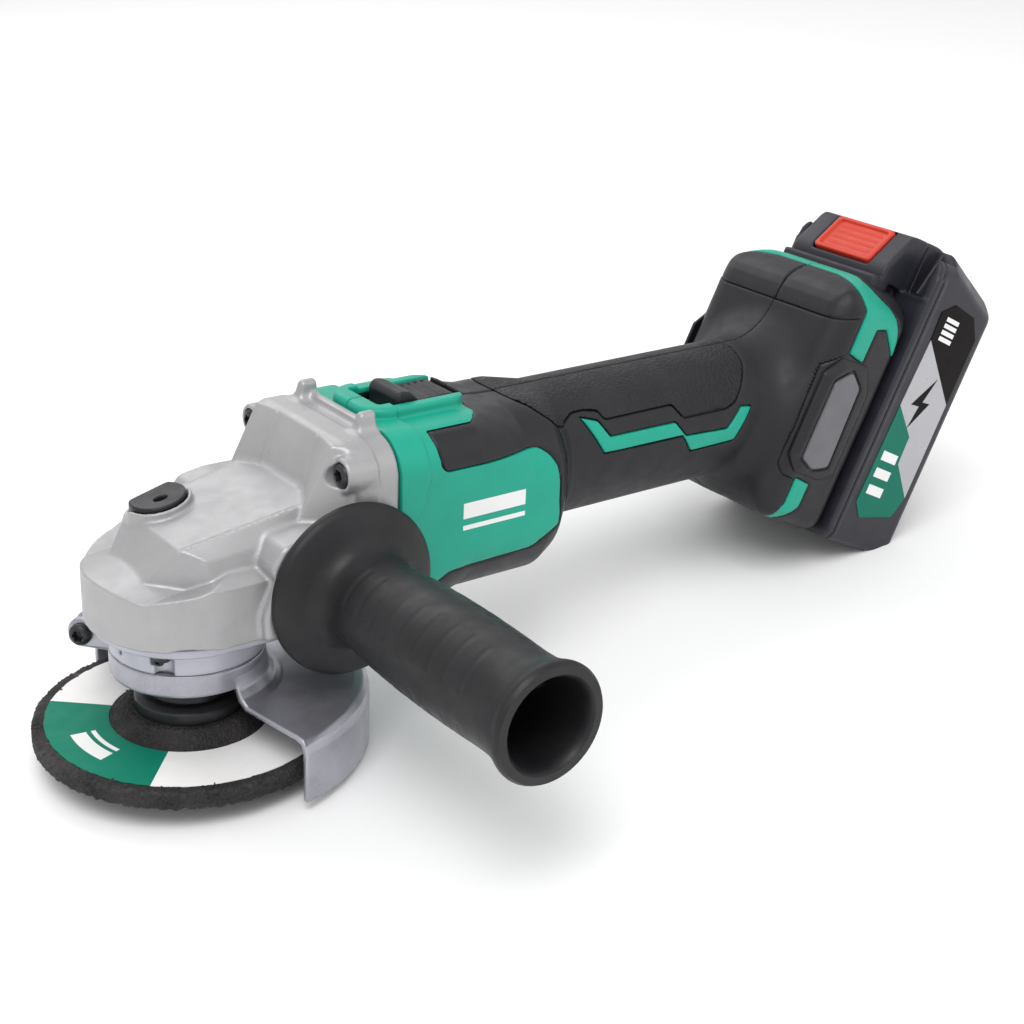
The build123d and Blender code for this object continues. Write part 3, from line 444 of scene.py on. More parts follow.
def gear_room(x, y, z):
    """The hollow that the gears, the spindle's top and the motor's front turn in."""
    radius = np.hypot(x, y)
    chamber = join(meet(radius - 19.2, z - 59.7), meet(radius - 12.5, z - 61.4))
    chamber = join(chamber, meet(radius - 5.4, z - SPINDLE_BUSH_TOP))
    shaft = join(meet(rod(y, z, 9.0, 0, MOTOR_Z), 9.0 - x), meet(rod(y, z, 11.0, 0, MOTOR_Z), 31 - x))
    bell = meet(rod(y, z, 28.0, 0, MOTOR_Z), 41.0 - x)
    return join(chamber, shaft, bell)

def lock_outline(x, y):
    """The lock button's D shape: a round with one straight side."""
    return common(rod(x, y, 9.0, -2.2, 13.0), y - 17.2 - 0.13 * (x + 12.0), 1.0)

def with_lock_well(body, x, y, z):
    """Cuts the lock pin's bore and the button's well, and adds the lip round the well."""
    body = meet(body, -meet(rod(x, y, 3.5, LOCK_X, LOCK_Y), LOCK_SEAT - z))
    body = cut(body, meet(lock_outline(x, y) - 0.45, slope(x) - 4.6 - z), 0.5)
    height = 3.0 * np.clip((16.0 - y) / 4.0, 0, 1)
    lip = common(np.abs(lock_outline(x, y) - 1.1) - 0.6, between(z - slope(x), -5.0, height - 0.4), 0.3)
    return union(body, lip, 1.2)

def head(x, y, z):
    """The die-cast gear housing."""
    body = union(gear_cover(x, y, z), motor_flange(x, y, z), 1.5)
    body = with_screw_seats(with_bosses(body, x, y, z), x, y, z)
    body = with_lock_well(meet(body, -gear_room(x, y, z)), x, y, z)
    thread = meet(rod(x, z, 4.1, HANDLE_X, HANDLE_Z), 20.4 - np.abs(y))
    return cut(body, thread, 0.5)

def make_head():
    sculpt("gear_head", "tool", CAST, head, (-33, -37, HEAD_LOW), (58.3, 37, 105), 0.46,
           ["gear_housing"], 0.24)

def lock_button(x, y, z):
    plate = common(lock_outline(x, y), between(z, slope(x) - 0.5, slope(x) + 3.7), 0.6)
    dimple = np.hypot((x + 2.4) / 1.5, y - 10.4) - 1.5
    return cut(plate, np.maximum(dimple, slope(x) + 1.6 - z), 0.4)

def make_lock_button():
    low, high = (-13, 3, 68), (8, 20, 78.5)
    sculpt("lock_button", "lock_button", BLACK, lock_button, low, high, 0.3,
           ["spindle_lock_button"], 0.5)

# ---- screws
def outward_at(angle):
    """The direction out from the spindle at an angle in degrees."""
    a = math.radians(angle)
    return Vector((math.cos(a), math.sin(a), 0))

def make_screws(name, body, places, nodes):
    """Domed heads with a six-lobed socket. A place is a seat, the way the head faces, and its radius."""
    steps = 48
    dome = [(0.55, 0.0), (1.0, 0.0), (1.0, 0.35), (0.93, 0.5), (0.75, 0.66), (0.56, 0.72), (0.5, 0.68),
            (0.46, 0.1), (0.02, 0.02)]
    lobes = 1 + 0.16 * np.cos(6 * np.arange(steps) * 2 * math.pi / steps)
    points, faces = [], []
    for seat, facing, r in places:
        profile = [(0.55 * r, -4.0)] + [(u * r, v * r) for u, v in dome]
        ring, sides = turned(profile, steps)
        ring = ring.reshape(len(profile), steps, 3)
        ring[7:9, :, :2] *= lobes[None, :, None]
        place = Matrix.Translation(seat) @ Vector(facing).to_track_quat("Z", "Y").to_matrix().to_4x4()
        faces += [tuple(k + len(points) for k in f) for f in sides]
        points += [tuple(place @ Vector(p)) for p in ring.reshape(-1, 3)]
    piece(name, body, DARK_STEEL, points, faces, nodes, 30)

def make_all_screws():
    places = [((41.2, side * HEAD_SCREW_Y, height), (-1, 0, 0), 3.9)
              for side in (-1, 1) for height in HEAD_SCREW_HEIGHTS]
    make_screws("head_screws", "tool", places, ["gear_housing_screws"])
    places = [((px, side * py, 39.0), (0, 0, -1), 3.0) for side in (-1, 1) for px, py in BOX_SCREWS]
    make_screws("flange_screws", "tool", places, ["bearing_box_screws"])
    places = [((x, reach - 8.9, z), (0, 1, 0), 3.4) for x, z, reach in SCREW_PLACES]
    make_screws("case_screws", "tool", places, ["body_screws"])
    facing = Vector(from_pack(1, 0, 0)) - Vector(from_pack(0, 0, 0))
    places = [(from_pack(42.2, side * 28.0, 102.4), facing, 2.6) for side in (-1, 1)]
    make_screws("pack_screws", "battery", places, ["battery_case_screws"])
    outward = outward_at(EAR_ANGLE)
    across = Vector((-outward.y, outward.x, 0))
    centre = outward * EAR_R + Vector((0, 0, EAR_Z))
    places = [(centre + across * 4.5, across, 3.7), (centre - across * 4.5, -across, 3.5)]
    make_screws("clamp_screw", "guard", places, ["guard_clamp_screw"])
    outward = outward_at(DRUM_SCREW_ANGLE)
    seat = outward * 23.5 + Vector((0, 0, DRUM_SCREW_Z))
    make_screws("drum_screw", "tool", [(seat, outward, 1.9)], [])

# ---- bearing box and guard
def bearing_box(x, y, z):
    """The plate under the head, with the drum and the neck that carry the bearing and the guard."""
    wide = np.abs(y)
    plan = np.where(x < 0, np.hypot(x, y), wide) - 29.6
    plan = common(plan, x - 29.0, 6.0)
    flange = common(plan, between(z, 39.2, HEAD_LOW - 0.05), 0.5)
    radius = np.hypot(x, y)
    neck = common(radius - 21.8, between(z, 22.6, 37.5), 1.0)
    drum = common(radius - DRUM_R, between(z, DRUM_LOW, 40.0), 0.3)
    body = union(flange, join(neck, drum), 0.5)
    inside = join(meet(radius - 13.0, z - 27.2), meet(radius - 16.0, z - 37.2))
    body = meet(body, -join(inside, meet(radius - 19.3, 37.0 - z)))
    for px, py in BOX_SCREWS:
        body = cut(body, meet(rod(x, wide, 3.3, px, py), z - 39.2), 0.3)
        body = cut(body, rod(x, wide, 1.7, px, py), 0.1)
    notches = ((DRUM_SCREW_ANGLE, 2.5, DRUM_SCREW_Z, 1.4), (-173.0, 0.9, 35.0, 0.9))
    for angle, half_width, height, tall in notches:
        a = math.radians(angle)
        along, off = x * math.cos(a) + y * math.sin(a), y * math.cos(a) - x * math.sin(a)
        body = cut(body, meet(box2(off, z - height, half_width, tall, 0.7), 23.4 - along), 0.3)
    return body

def make_bearing_box():
    low, high = (-30, -30, 22.5), (29.5, 30, 42.5)
    sculpt("spindle_bearing_box", "tool", MACHINED, bearing_box, low, high, 0.5,
           ["bearing_box"], 0.4)

GUARD_SECTION = [(GUARD_R, GUARD_LOW), (GUARD_R, 13.7), (57.3, 16.4), (55.8, 18.0), (53.0, GUARD_TOP),
                 (29.6, GUARD_TOP), (27.4, 20.0), (25.6, 23.0), (24.7, 27.0), (22.6, 27.0), (23.6, 21.6),
                 (25.4, 18.4), (28.4, 16.7), (53.0, 16.7), (55.1, 15.9), (56.0, 13.7), (56.0, GUARD_LOW)]

def guard(x, y, z):
    """The wheel guard: a pressed plate, its rolled skirt, and the clamped collar."""
    radius = np.hypot(x, y)
    a, b = math.radians(GUARD_FROM), math.radians(GUARD_TO)
    past_from = x * math.sin(a) - y * math.cos(a)
    past_to = y * math.cos(b) - x * math.sin(b)
    sheet = common(outline(GUARD_SECTION, radius, z), meet(past_from, past_to), 0.5)
    collar = common(between(radius, 22.05, DRUM_R), between(z, 23.2, 31.0), 0.7)
    body = union(sheet, collar, 0.5)
    c = math.radians(EAR_ANGLE)
    along, off = x * math.cos(c) + y * math.sin(c), y * math.cos(c) - x * math.sin(c)
    ear = join(box2(along - EAR_R + 6.0, z - EAR_Z, 6.0, 5.0, 0.5), rod(along, z, 5.0, EAR_R, EAR_Z))
    ear = common(ear, np.abs(off) - 4.4, 0.8)
    body = union(body, meet(ear, 22.3 - radius), 1.0)
    body = meet(body, -meet(radius - DRUM_R - 0.3, DRUM_LOW - 0.1 - z))
    body = meet(body, -meet(np.abs(off) - 1.5, -along))
    return cut(body, meet(rod(along, z, 2.05, EAR_R, EAR_Z), np.abs(off) - 12), 0.1)

def make_guard():
    sculpt("guard_shell", "guard", ZINC, guard, (-32, -58, -3), (58, 58, 36), 0.55,
           ["wheel_guard"], 0.3)

# ---- wheel
def wheel_profile():
    """The depressed-centre wheel's section, in steps short enough to be roughened."""
    rise, ramp = HUB_LOW - RIM_LOW, np.linspace(0, 1, 9)
    path = [(WHEEL_BORE, HUB_LOW)] + [(r, HUB_LOW) for r in np.arange(9.5, 19.0, 0.8)]
    path += [(19.0 + 5.0 * w, HUB_LOW - rise * w) for w in ramp]
    path += [(r, RIM_LOW) for r in np.arange(24.7, 49.2, 0.8)] + [(49.6, -0.6)]
    path += [(49.9, z) for z in np.arange(0.0, 4.2, 0.6)] + [(49.5, 4.6)]
    path += [(r, RIM_TOP) for r in np.arange(48.9, 25.0, -0.8)]
    path += [(25.0 - 5.0 * w, RIM_TOP + rise * w) for w in ramp]
    path += [(r, HUB_TOP) for r in np.arange(19.3, 8.8, -0.8)]
    return path + [(WHEEL_BORE, HUB_TOP), (WHEEL_BORE, HUB_LOW)]

def make_wheel():
    """The abrasive wheel, grainy except under its paper."""
    profile = wheel_profile()
    steps = 420
    draw = np.random.default_rng(7)
    rough = draw.normal(0, 0.16, (len(profile), steps))
    rough = (rough + np.roll(rough, 1, 1) + np.roll(rough, 1, 0)) * 0.7
    rough[0] = rough[-1] = rough[-2] = 0
    radius, height = (np.array(values)[:, None] for values in zip(*profile))
    under_paper = (radius > 26) & (radius < 45.6) & (height > 4.9)
    rough = np.where(under_paper, 0, rough)
    spin = np.arange(steps) * 2 * math.pi / steps
    radius = np.minimum(radius + rough, WHEEL_R)
    height = np.clip(height + np.roll(rough, 3, 1) * (height != HUB_LOW), RIM_LOW, HUB_TOP + 0.1)
    points = np.stack([radius * np.cos(spin), radius * np.sin(spin), height], -1).reshape(-1, 3)
    piece("abrasive_wheel", "spindle", GRIT, points, ring_faces(len(profile), steps),
          ["grinding_wheel"])

def make_wheel_paper():
    """The ring of paper on the wheel, ragged at its edge and green along one stretch."""
    rings = [(25.7, 5.02), (25.7, 5.22), (26.0, PAPER_TOP), (36.0, PAPER_TOP), (45.7, PAPER_TOP),
             (46.0, 5.22), (46.0, 5.02)]
    steps = 360
    points, faces = turned(rings, steps)
    draw = np.random.default_rng(3)
    ragged = 1 + np.repeat(draw.normal(0, 0.0018, 120), 3)
    points = points.reshape(len(rings), steps, 3)
    points[-2:, :, :2] *= ragged[None, :, None]
    points[-3, :, :2] *= ragged[:, None]
    points = points.reshape(-1, 3)
    tints = []
    for face in faces:
        x, y = points[face[0]][:2]
        angle = math.degrees(math.atan2(y, x))
        tints.append(1 if angle >= 139 or angle < -133 else 0)
    piece("wheel_paper", "spindle", [PAPER, PAPER_GREEN], points, faces, ["wheel_label"], 35,
          tints)

def make_flange():
    profile = eased([(5.2, 6.8), (7.8, 6.8), (7.8, 9.7), (17.5, 9.7), (17.5, 13.4), (15.4, 15.0),
                     (13.2, 15.0), (12.2, 18.9), (6.1, 18.9), (6.1, 12.2), (5.2, 12.2), (5.2, 6.8)], 0.4, 3)
    turned_piece("wheel_flange", "spindle", DARK_STEEL, profile, Matrix(), ["inner_flange"])

# ---- side handle
HANDLE_OUTSIDE = [(28.4, 0.1), (28.5, 1.8), (27.4, 3.4), (24.0, 4.9), (18.6, 6.6), (15.8, 9.6),
                  (15.0, 14.0), (15.6, 22.0), (16.3, 31.0), (16.9, 46.0), (17.0, 60.0), (16.7, 74.0),
                  (16.2, 86.0), (16.5, 92.5), (17.6, 96.6), (18.5, 99.0), (18.6, 100.6), (17.7, 102.0)]
HANDLE_INSIDE = [(15.2, 102.1), (14.2, 101.0), (13.9, 98.0), (13.4, 90.0), (13.1, 64.0), (12.6, 62.2),
                 (4.1, 62.0)]
HANDLE_BORE = (4.1, 0.05)

def make_handle():
    """The side handle's turned grip, with shallow grooves, and the web in its hollow end."""
    path = eased(HANDLE_OUTSIDE, 3.0, 4)
    outside = []
    for (r0, h0), (r1, h1) in zip(path, path[1:]):
        count = max(1, int(abs(h1 - h0) / 0.7))
        for k in range(count):
            w = k / count
            outside.append((r0 + (r1 - r0) * w, h0 + (h1 - h0) * w))
    profile = [HANDLE_BORE] + outside + [HANDLE_OUTSIDE[-1]] + HANDLE_INSIDE + [HANDLE_BORE]
    steps = 180
    points, faces = turned(profile, steps)
    points = points.reshape(len(profile), steps, 3)
    spin = np.arange(steps) * 2 * math.pi / steps
    side = np.abs(np.abs(((spin / math.pi) % 1) - 0.5) * 2 - 0.5) < 0.32
    for row, (r, h) in enumerate(profile[:len(outside)]):
        for number in range(10):
            dent = 0.22 * math.exp(-((h - 11.7 - 7.6 * number) / 0.75) ** 2)
            if dent > 0.01 and 14 < h < 92:
                points[row, :, :2] *= (1 - dent / r * side)[:, None]
    turn = Matrix.Rotation(math.radians(90), 4, "X")
    place = Matrix.Translation((HANDLE_X, -HANDLE_FACE, HANDLE_Z)) @ turn
    points = np.array([place @ Vector(p) for p in points.reshape(-1, 3)])
    piece("handle_barrel", "side_handle", HANDLE, points, faces, ["side_handle_grip"], 50)

    def web(x, y, z):
        ring = rod(x, z, 13.3, HANDLE_X, HANDLE_Z)
        bars = join(np.abs(x - HANDLE_X), np.abs(z - HANDLE_Z)) - 0.9
        return common(meet(bars, ring), between(y, -118.5, -98.0), 0.4)

    sculpt("handle_web", "side_handle", HANDLE, web, (25, -119, 41), (52, -97.5, 68), 0.5,
           ["side_handle_grip"], 0.2)

# ---- plastic housing
def casing(x, y, z):
    """The motor tube, rounder underneath towards the back, and the grip behind it."""
    side = np.clip((x - 124.0) / 10.0, 0, 1)
    belly = np.clip((x - 58.0) / 30.0, 0, 1)
    rise = np.clip((x - 119.0) / 16.0, 0, 1)
    crown = np.clip((x - 90.0) / 22.0, 0, 1)
    half = CASE_HALF - 8.4 * side
    low = 30.8 + 2.7 * belly + 12.2 * rise
    high = 97.0 - 2.1 * crown
    upper = box2(y, z - high + 60.0, half, 60.0, np.minimum(12.0 + 12.6 * crown, half))
    lower = box2(y, z - low - 60.0, half, 60.0, np.minimum(12.0 + 12.0 * belly + rise, half))
    return np.maximum(upper, lower)

def hull(x, y, z):
    """The whole housing's outer form."""
    t, s = to_pack(x, z)
    tool = meet(casing(x, y, z), t + 12.0)
    wide = np.abs(y)
    side = outline(soft([(-38, 6), (-38, 86), (-26, 96), (0, 96), (0, 0), (-32, 0)], 7.0), t, s)
    foot = common(side, wide - FOOT_HALF, 7.0)
    foot = common(foot, ((s - 95.5) * 10 + (wide - 25) * 9) / 13.45, 3.0)
    foot = common(foot, (-t - 38 + wide - 31) * 0.707, 4.0)
    body = union(tool, foot, 12.0)
    pad = common(common(box2(x - 79.4, y, 19.4, 13.5, 8.0), z - 100.6, 1.0), 90 - z, 1)
    return union(body, pad, 1.2)

def rail_room(x, y, z):
    """The channel that the battery's rails slide in."""
    t, s = to_pack(x, z)
    wide = np.abs(y)
    room = meet(between(t, -18.6, -7.6), wide - 24.6)
    room = join(room, meet(between(t, -8.0, 2.0), wide - 20.6))
    return meet(room, 1.0 - s)

def openings(x, y, z):
    """Everything that is cut through the housing's skin."""
    wide = np.abs(y)
    slot = meet(box2(x - 81.3, y, 16.1, 9.4, 1.0), 90 - z)
    slot = join(slot, meet(box2(x - 83.2, y, 20.8, 11.5, 1.0), between(z, 92.0, 94.6)))
    vents = between((x - 80.0) % 6.0, -0.1, 3.0)
    vents = meet(vents, between(x, 79.9, 107.1), np.abs(wide - 12) - 7, z - 36.0)
    return join(slot, vents)

def screw_wells(x, y, z):
    """The counterbores of the screws that join the halves, on the +Y side."""
    return join(*[meet(rod(x, z, 3.8, px, pz), reach - 9.0 - y) for px, pz, reach in SCREW_PLACES])

SIDE_PANEL = [(40, 97.6), (73.2, 97.6), (73.4, 95.0), (74.6, 86), (76.4, 84.2), (115.6, 83.9), (119.7, 81),
              (122.2, 77), (122.8, 72.4), (123.4, 55.5), (119.3, 53.4), (112.2, 49), (95, 48.6),
              (78.4, 48.5), (73, 45.7), (73, 20), (40, 20)]
TEXTURE_PATCH = [(106, 99), (106, 95.3), (117, 94.7), (120.2, 93.3), (128, 86.5), (132.5, 84.8),
                 (138.5, 87.7), (143.5, 87.8), (149.3, 86.8), (151, 84), (181.5, 84), (185.6, 79),
                 (206.3, 78.8), (211.3, 80.4), (216.2, 85.1), (221.6, 90.5), (224, 94.9), (224, 99)]
STRIP = [(141, 86.2), (147.9, 84.2), (151.7, 78.6), (181.6, 78.3), (186.1, 72.7), (206, 71.7), (213.5, 78.6),
         (218.4, 77.9), (209.8, 66.6), (188.9, 66.3), (184.6, 73.0), (148.4, 73.4)]
GAP = 0.22

def collar_region(x, y, z):
    """The green front ring, the side panels and the bridge over the top."""
    panel = outline(soft(SIDE_PANEL, 1.5), x, z)
    top = meet(between(x, 50.0, 97.5), 95.8 - z)
    wide = np.abs(y)
    pad = np.where(x < 90, wide - 26.9 + 0.015 * (x - 73), wide - 26.6 + 1.3 * (x - 90))
    top = meet(top, pad * 0.8)
    return join(panel, top)

def foot_crown(y, s):
    """How far the foot's edges lean back towards the middle of its top."""
    return 0.3 * (np.clip(np.abs(y) - 16, 0, 13) - 13) * np.clip((s - 85) / 6, 0, 1)

def cover_region(x, y, z):
    """Where the soft cover lies: round the grip and over the front of the foot."""
    t, s = to_pack(x, z)
    front = [(106, 105), (106, 95.3), (117, 94.7), (120.2, 93.3), (128, 86.5), (129, 60), (133, 52),
             (150, 43), (150, 0), (320, 0), (320, 110)]
    rear = [(-300, -60), (-27.8, -60), (-27.8, 17), (-33.0, 17), (-35.4, 20), (-35.4, 59.6), (-28.4, 67),
            (-28.6, 85), (-31.6, 91.4), (-31.6, 140), (-300, 140)]
    return meet(outline(front, x, z), outline(rear, t + foot_crown(y, s), s))

def band_region(x, y, z):
    """The green bands over the top and under the bottom of the foot."""
    t, s = to_pack(x, z)
    upper = [(-31.6, 140), (-31.6, 91.4), (-28.6, 85.3), (-27.5, 84), (-27.2, 67.1), (-18.4, 65.9),
             (-18.1, 79.3), (-13.1, 80.9), (-3.5, 72.5), (-2, 74.4), (-8.5, 86.5), (-12, 89.5),
             (-17, 91.3), (-25.6, 94.5), (-25.6, 140)]
    lower = [(-27, 17.8), (-18.5, 17.2), (-18.7, 7.6), (-24.8, 0.9), (-24.8, -20), (-32.6, -20),
             (-32.6, 0.8), (-27.1, 6.9)]
    return join(outline(upper, t + foot_crown(y, s), s), outline(lower, t, s))

def patch_region(x, y, z):
    return outline(soft(TEXTURE_PATCH, 1.0), x, z)

def strip_region(x, y, z):
    return meet(outline(soft(STRIP, 0.4), x, z), 12 - np.abs(y))

def half(shape):
    """The right half of a shape, just short of the parting plane."""
    return lambda x, y, z: meet(shape(x, y, z), y + 0.13)

def case_core(x, y, z):
    """The black shell, recessed where the green and soft parts lie."""
    body = hull(x, y, z)
    inlays = join(collar_region(x, y, z), cover_region(x, y, z), band_region(x, y, z))
    outer = common(body, -meet(inlays, -(body + 1.1)), 0.3)
    shell = meet(outer, -(body + 3.4), HOUSING_FRONT + 0.1 - x)
    return cut(shell, join(rail_room(x, y, z), openings(x, y, z), screw_wells(x, y, z)), 0.3)

def inlay(region, raised, deep=1.3):
    """A part set into the surface and raised above it, by a number or by a function of x and z."""
    def shape(x, y, z):
        body = hull(x, y, z)
        lift = raised(x, z) if callable(raised) else raised
        skin = common(body - lift, region(x, y, z) + GAP, 0.4)
        skin = meet(skin, -(body + deep))
        skin = cut(skin, join(openings(x, y, z), screw_wells(x, y, z)), 0.3)
        return meet(skin, HOUSING_FRONT + 0.1 - x)
    return shape

def collar_lift(x, z):
    """The front collar's step up from the side panels."""
    crease = np.interp(z, [50, 72, 75, 84, 91, 97], [63, 66.1, 67.5, 69.9, 69.3, 69.8])
    return 1.1 * np.clip((crease - x) / 0.7, 0, 1)

def soft_cover(x, y, z):
    """The soft cover, open where the textured patch and the strip lie."""
    return meet(cover_region(x, y, z), -join(patch_region(x, y, z), strip_region(x, y, z)))

def make_housing():
    """The two halves: black shells, with the green and soft parts set into their surface."""
    low, high = (58.3, -36.4, 14), (292, -0.1, 123)
    parts = [
        ("case_core_", "black_plastic", BLACK, "housing_", case_core, low, high, 0.8, 0.35),
        ("case_green_", "green_plastic", GREEN, "housing_", inlay(collar_region, collar_lift, 2.2),
         low, (126, -0.1, 102.5), 0.55, 0.4),
        ("grip_cover_soft_", "soft_grip", RUBBER, "grip_cover_", inlay(soft_cover, 0.25, 2.0),
         (104, -36.4, 14), (270, -0.1, 123), 0.6, 0.4),
        ("grip_texture_", "soft_grip", TEXTURE, "grip_cover_", inlay(patch_region, 0.1),
         (105, -27, 77), (225, -0.1, 98), 0.6, 0.4),
        ("grip_strip_", "green_plastic", GREEN, "grip_cover_", inlay(strip_region, 0.35),
         (140, -36, 64), (220, -10, 88), 0.45, 0.4),
        ("foot_band_", "green_plastic", GREEN, "housing_", inlay(band_region, 0.15),
         (205, -36.4, 12), high, 0.55, 0.4),
    ]
    for sign, side in SIDES:
        for name, slot, look, node, shape, a, b, step, share in parts:
            sculpt(name + side, "tool", look, half(shape), a, b, step, [node + side], share, sign > 0)

BADGE_FRAME = [(-36, 57), (-30, 65), (-15.5, 66), (-8.5, 57), (-8, 23), (-15, 19.5), (-30, 19.5), (-36, 25)]
BADGE_PLATE = [(-23.5, 61.5), (-16.5, 57), (-15.3, 25.5), (-23, 22.6), (-30.5, 25.2), (-30.5, 55.6)]

def make_badges():
    """The raised frame and grey plate on each side of the foot."""
    def frame_shape(x, y, z):
        t, s = to_pack(x, z)
        edge = outline(BADGE_FRAME, t, s)
        depth = -y - 38.0 + 1.6 * np.clip(1 + edge / 3.0, 0, 1)
        body = common(meet(edge, 35.0 + y), depth, 0.5)
        return cut(body, meet(outline(BADGE_PLATE, t, s) - 1.0, 37.0 + y), 0.3)

    def plate_shape(x, y, z):
        t, s = to_pack(x, z)
        return common(outline(soft(BADGE_PLATE, 1.5), t, s), between(y, -38.3, -36.2), 0.6)

    low, high = (218, -38.4, 36), (275, -34.8, 100)
    for sign, side in SIDES:
        sculpt("badge_frame_" + side, "tool", BLACK, frame_shape, low, high, 0.5,
               ["side_badges"], 0.4, sign > 0)
        sculpt("badge_plate_" + side, "tool", GREY, plate_shape, low, high, 0.45,
               ["side_badges"], 0.4, sign > 0)

# ---- battery
BATTERY_SIDE = [(0.4, 0), (0.4, 98), (-14, 98), (-14, 103), (-5, 118.5), (12, 119.5), (26, 115), (44, 109.5),
                (44, 6), (37, 0.6)]
CASE_PARTING = 4.0

def battery(x, y, z):
    """The battery pack's outer form."""
    t, s = to_pack(x, z)
    wide = np.abs(y)
    body = common(outline(soft(BATTERY_SIDE, 2.5), t, s), wide - PACK_HALF, 2.2)
    top = s - np.interp(t, [-14, -5, 12, 26, 44], [103, 118.5, 119.5, 115, 109.5])
    body = common(body, (top + wide - PACK_HALF + 8.0) * 0.707, 1.5)
    foot = (t - 44 + wide - PACK_HALF + 3.0) * 0.707
    body = common(body, foot, 1.0)
    recess = meet(meet(t - 7.5 - 0.3 * (s - 98), 98.4 - s), meet(24.5 - wide, wide - 33.6))
    body = cut(body, recess, 1.2)
    corner = meet(meet(t - 0.4, 98.2 - s), 24.5 - wide)
    body = cut(body, corner, 1.0)
    bar = common(box2(t - 3.4, s - 55.0, 2.8, 52.5, 1.2), np.abs(wide - 35.4) - 2.6, 0.8)
    return union(body, bar, 0.5)

def battery_rails(x, y, z):
    """The two flanges that slide in the tool's foot, and the neck that carries them."""
    t, s = to_pack(x, z)
    wide = np.abs(y)
    flanges = common(between(t, -18.0, -8.2), wide - 24.0, 0.8)
    neck = common(between(t, -9.0, 1.0), wide - 20.0, 0.3)
    return common(join(flanges, neck), between(s, 12.0, 99.0), 0.8)

def in_button(x, z):
    """Distances in from, and up along, the battery's upper front chamfer."""
    t, s = to_pack(x, z)
    a = math.radians(30.2)
    dt, ds = t + 9.5, s - 110.75
    return dt * math.cos(a) - ds * math.sin(a), dt * math.sin(a) + ds * math.cos(a)

def button_pocket(x, y, z):
    deep, up = in_button(x, z)
    return meet(box2(y, up, 15.1, 9.1, 1.5), deep - 8.5)

def battery_front(x, y, z):
    """The pack's front shell, with the rails, the terminal slots and its part of the hollow."""
    t, s = to_pack(x, z)
    wide = np.abs(y)
    body = join(battery(x, y, z), battery_rails(x, y, z))
    body = common(body, t - CASE_PARTING + 0.15, 0.4)
    room = meet(1.6 - t, wide - 34.8, between(s, 3.0, 96.5))
    room = join(room, meet(between(t, -15.6, 2.0), wide - 17.6, between(s, 27.0, 96.0)))
    slots = np.abs((y + 12.0 + 4.0) % 8.0 - 4.0) - 1.4
    slots = meet(slots, wide - 14.0, between(t, -13.4, -4.6), between(s, 11.0, 28.7))
    return cut(body, join(room, slots, button_pocket(x, y, z)), 0.4)

def battery_back(x, y, z):
    """The pack's back shell, hollow for the cells."""
    t, s = to_pack(x, z)
    body = common(battery(x, y, z), CASE_PARTING + 0.15 - t, 0.4)
    room = [(3, 3), (30.4, 3), (41.0, 11), (41.0, 99.5), (13, 101.5), (13, 95.5), (3, 95.5)]
    room = meet(outline(room, t, s), np.abs(y) - 34.6)
    return meet(body, -join(room, button_pocket(x, y, z)))

def release_button(x, y, z):
    """The dished button with its four grip ribs."""
    deep, up = in_button(x, z)
    plate = common(box2(y, up, 14.6, 8.6, 1.8), between(deep, -0.6, 5.0), 0.7)
    plate = cut(plate, meet(box2(y, up, 12.6, 6.8, 1.5), deep - 0.5), 0.6)
    for number in range(4):
        rib = np.hypot(deep - 0.6, up + 4.2 - 2.8 * number) - 0.42
        plate = union(plate, meet(rib, np.abs(y) - 10.5), 0.3)
    return plate

def make_battery():
    low, high = (226, -38.2, 22), (309, 38.2, 134)
    sculpt("battery_front", "battery", BATTERY, battery_front, low, high, 0.75,
           ["battery_case_front"], 0.3)
    low, high = (250, -38.2, 6), (338, 38.2, 131)
    sculpt("battery_back", "battery", BATTERY, battery_back, low, high, 0.75,
           ["battery_case_back"], 0.3)
    low, high = (274, -14.7, 116), (308, 14.7, 142)
    sculpt("battery_button", "release_button", RED, release_button, low, high, 0.4,
           ["battery_release_button"], 0.4)

LABEL_PARTS = [
    [(10, 17.5), (15.4, 12.2), (33.9, 16.8), (37.3, 25.7), (24.4, 37.0), (23.9, 48.3), (10.7, 58.0)],
    [(10.7, 58.0), (23.9, 48.3), (24.4, 37.0), (37.3, 25.7), (37.2, 65.5), (11.7, 85.1)],
    [(11.7, 85.1), (37.2, 65.5), (37.3, 92.9), (30.8, 100.3), (17.5, 101.4), (11, 96.5)],
]

MARK_LOW, MARK_HIGH = -0.2, 0.06

def plates(name, body, materials, outlines, place, low, high, flip, nodes=()):
    """Thin plates from low to high over a surface. The outlines take the materials in turn."""
    points, faces, tints = [], [], []
    for number, corners in enumerate(outlines):
        start, count = len(points), len(corners)
        points += [place(u, v, low) for u, v in corners] + [place(u, v, high) for u, v in corners]
        faces.append([start + count + k for k in range(count)])
        for k in range(count):
            m = (k + 1) % count
            faces.append([start + k, start + m, start + count + m, start + count + k])
        tints += [number % len(materials)] * (count + 1)
    if flip:
        faces = [face[::-1] for face in faces]
    piece(name, body, materials, points, faces, nodes, 30, tints)

def rectangle(u, v, width, height):
    return [(u, v), (u + width, v), (u + width, v + height), (u, v + height)]

def make_labels():
    """A three-coloured film on each side of the battery, with no lettering."""
    films = [FILM_GREEN, FILM_SILVER, FILM_BLACK]
    for sign, side in SIDES:
        plates("battery_film_" + side, "battery", films, LABEL_PARTS,
               lambda t, s, out: from_pack(t, sign * (PACK_HALF + out), s), -0.1, 0.28, sign < 0,
               ["battery_labels"])

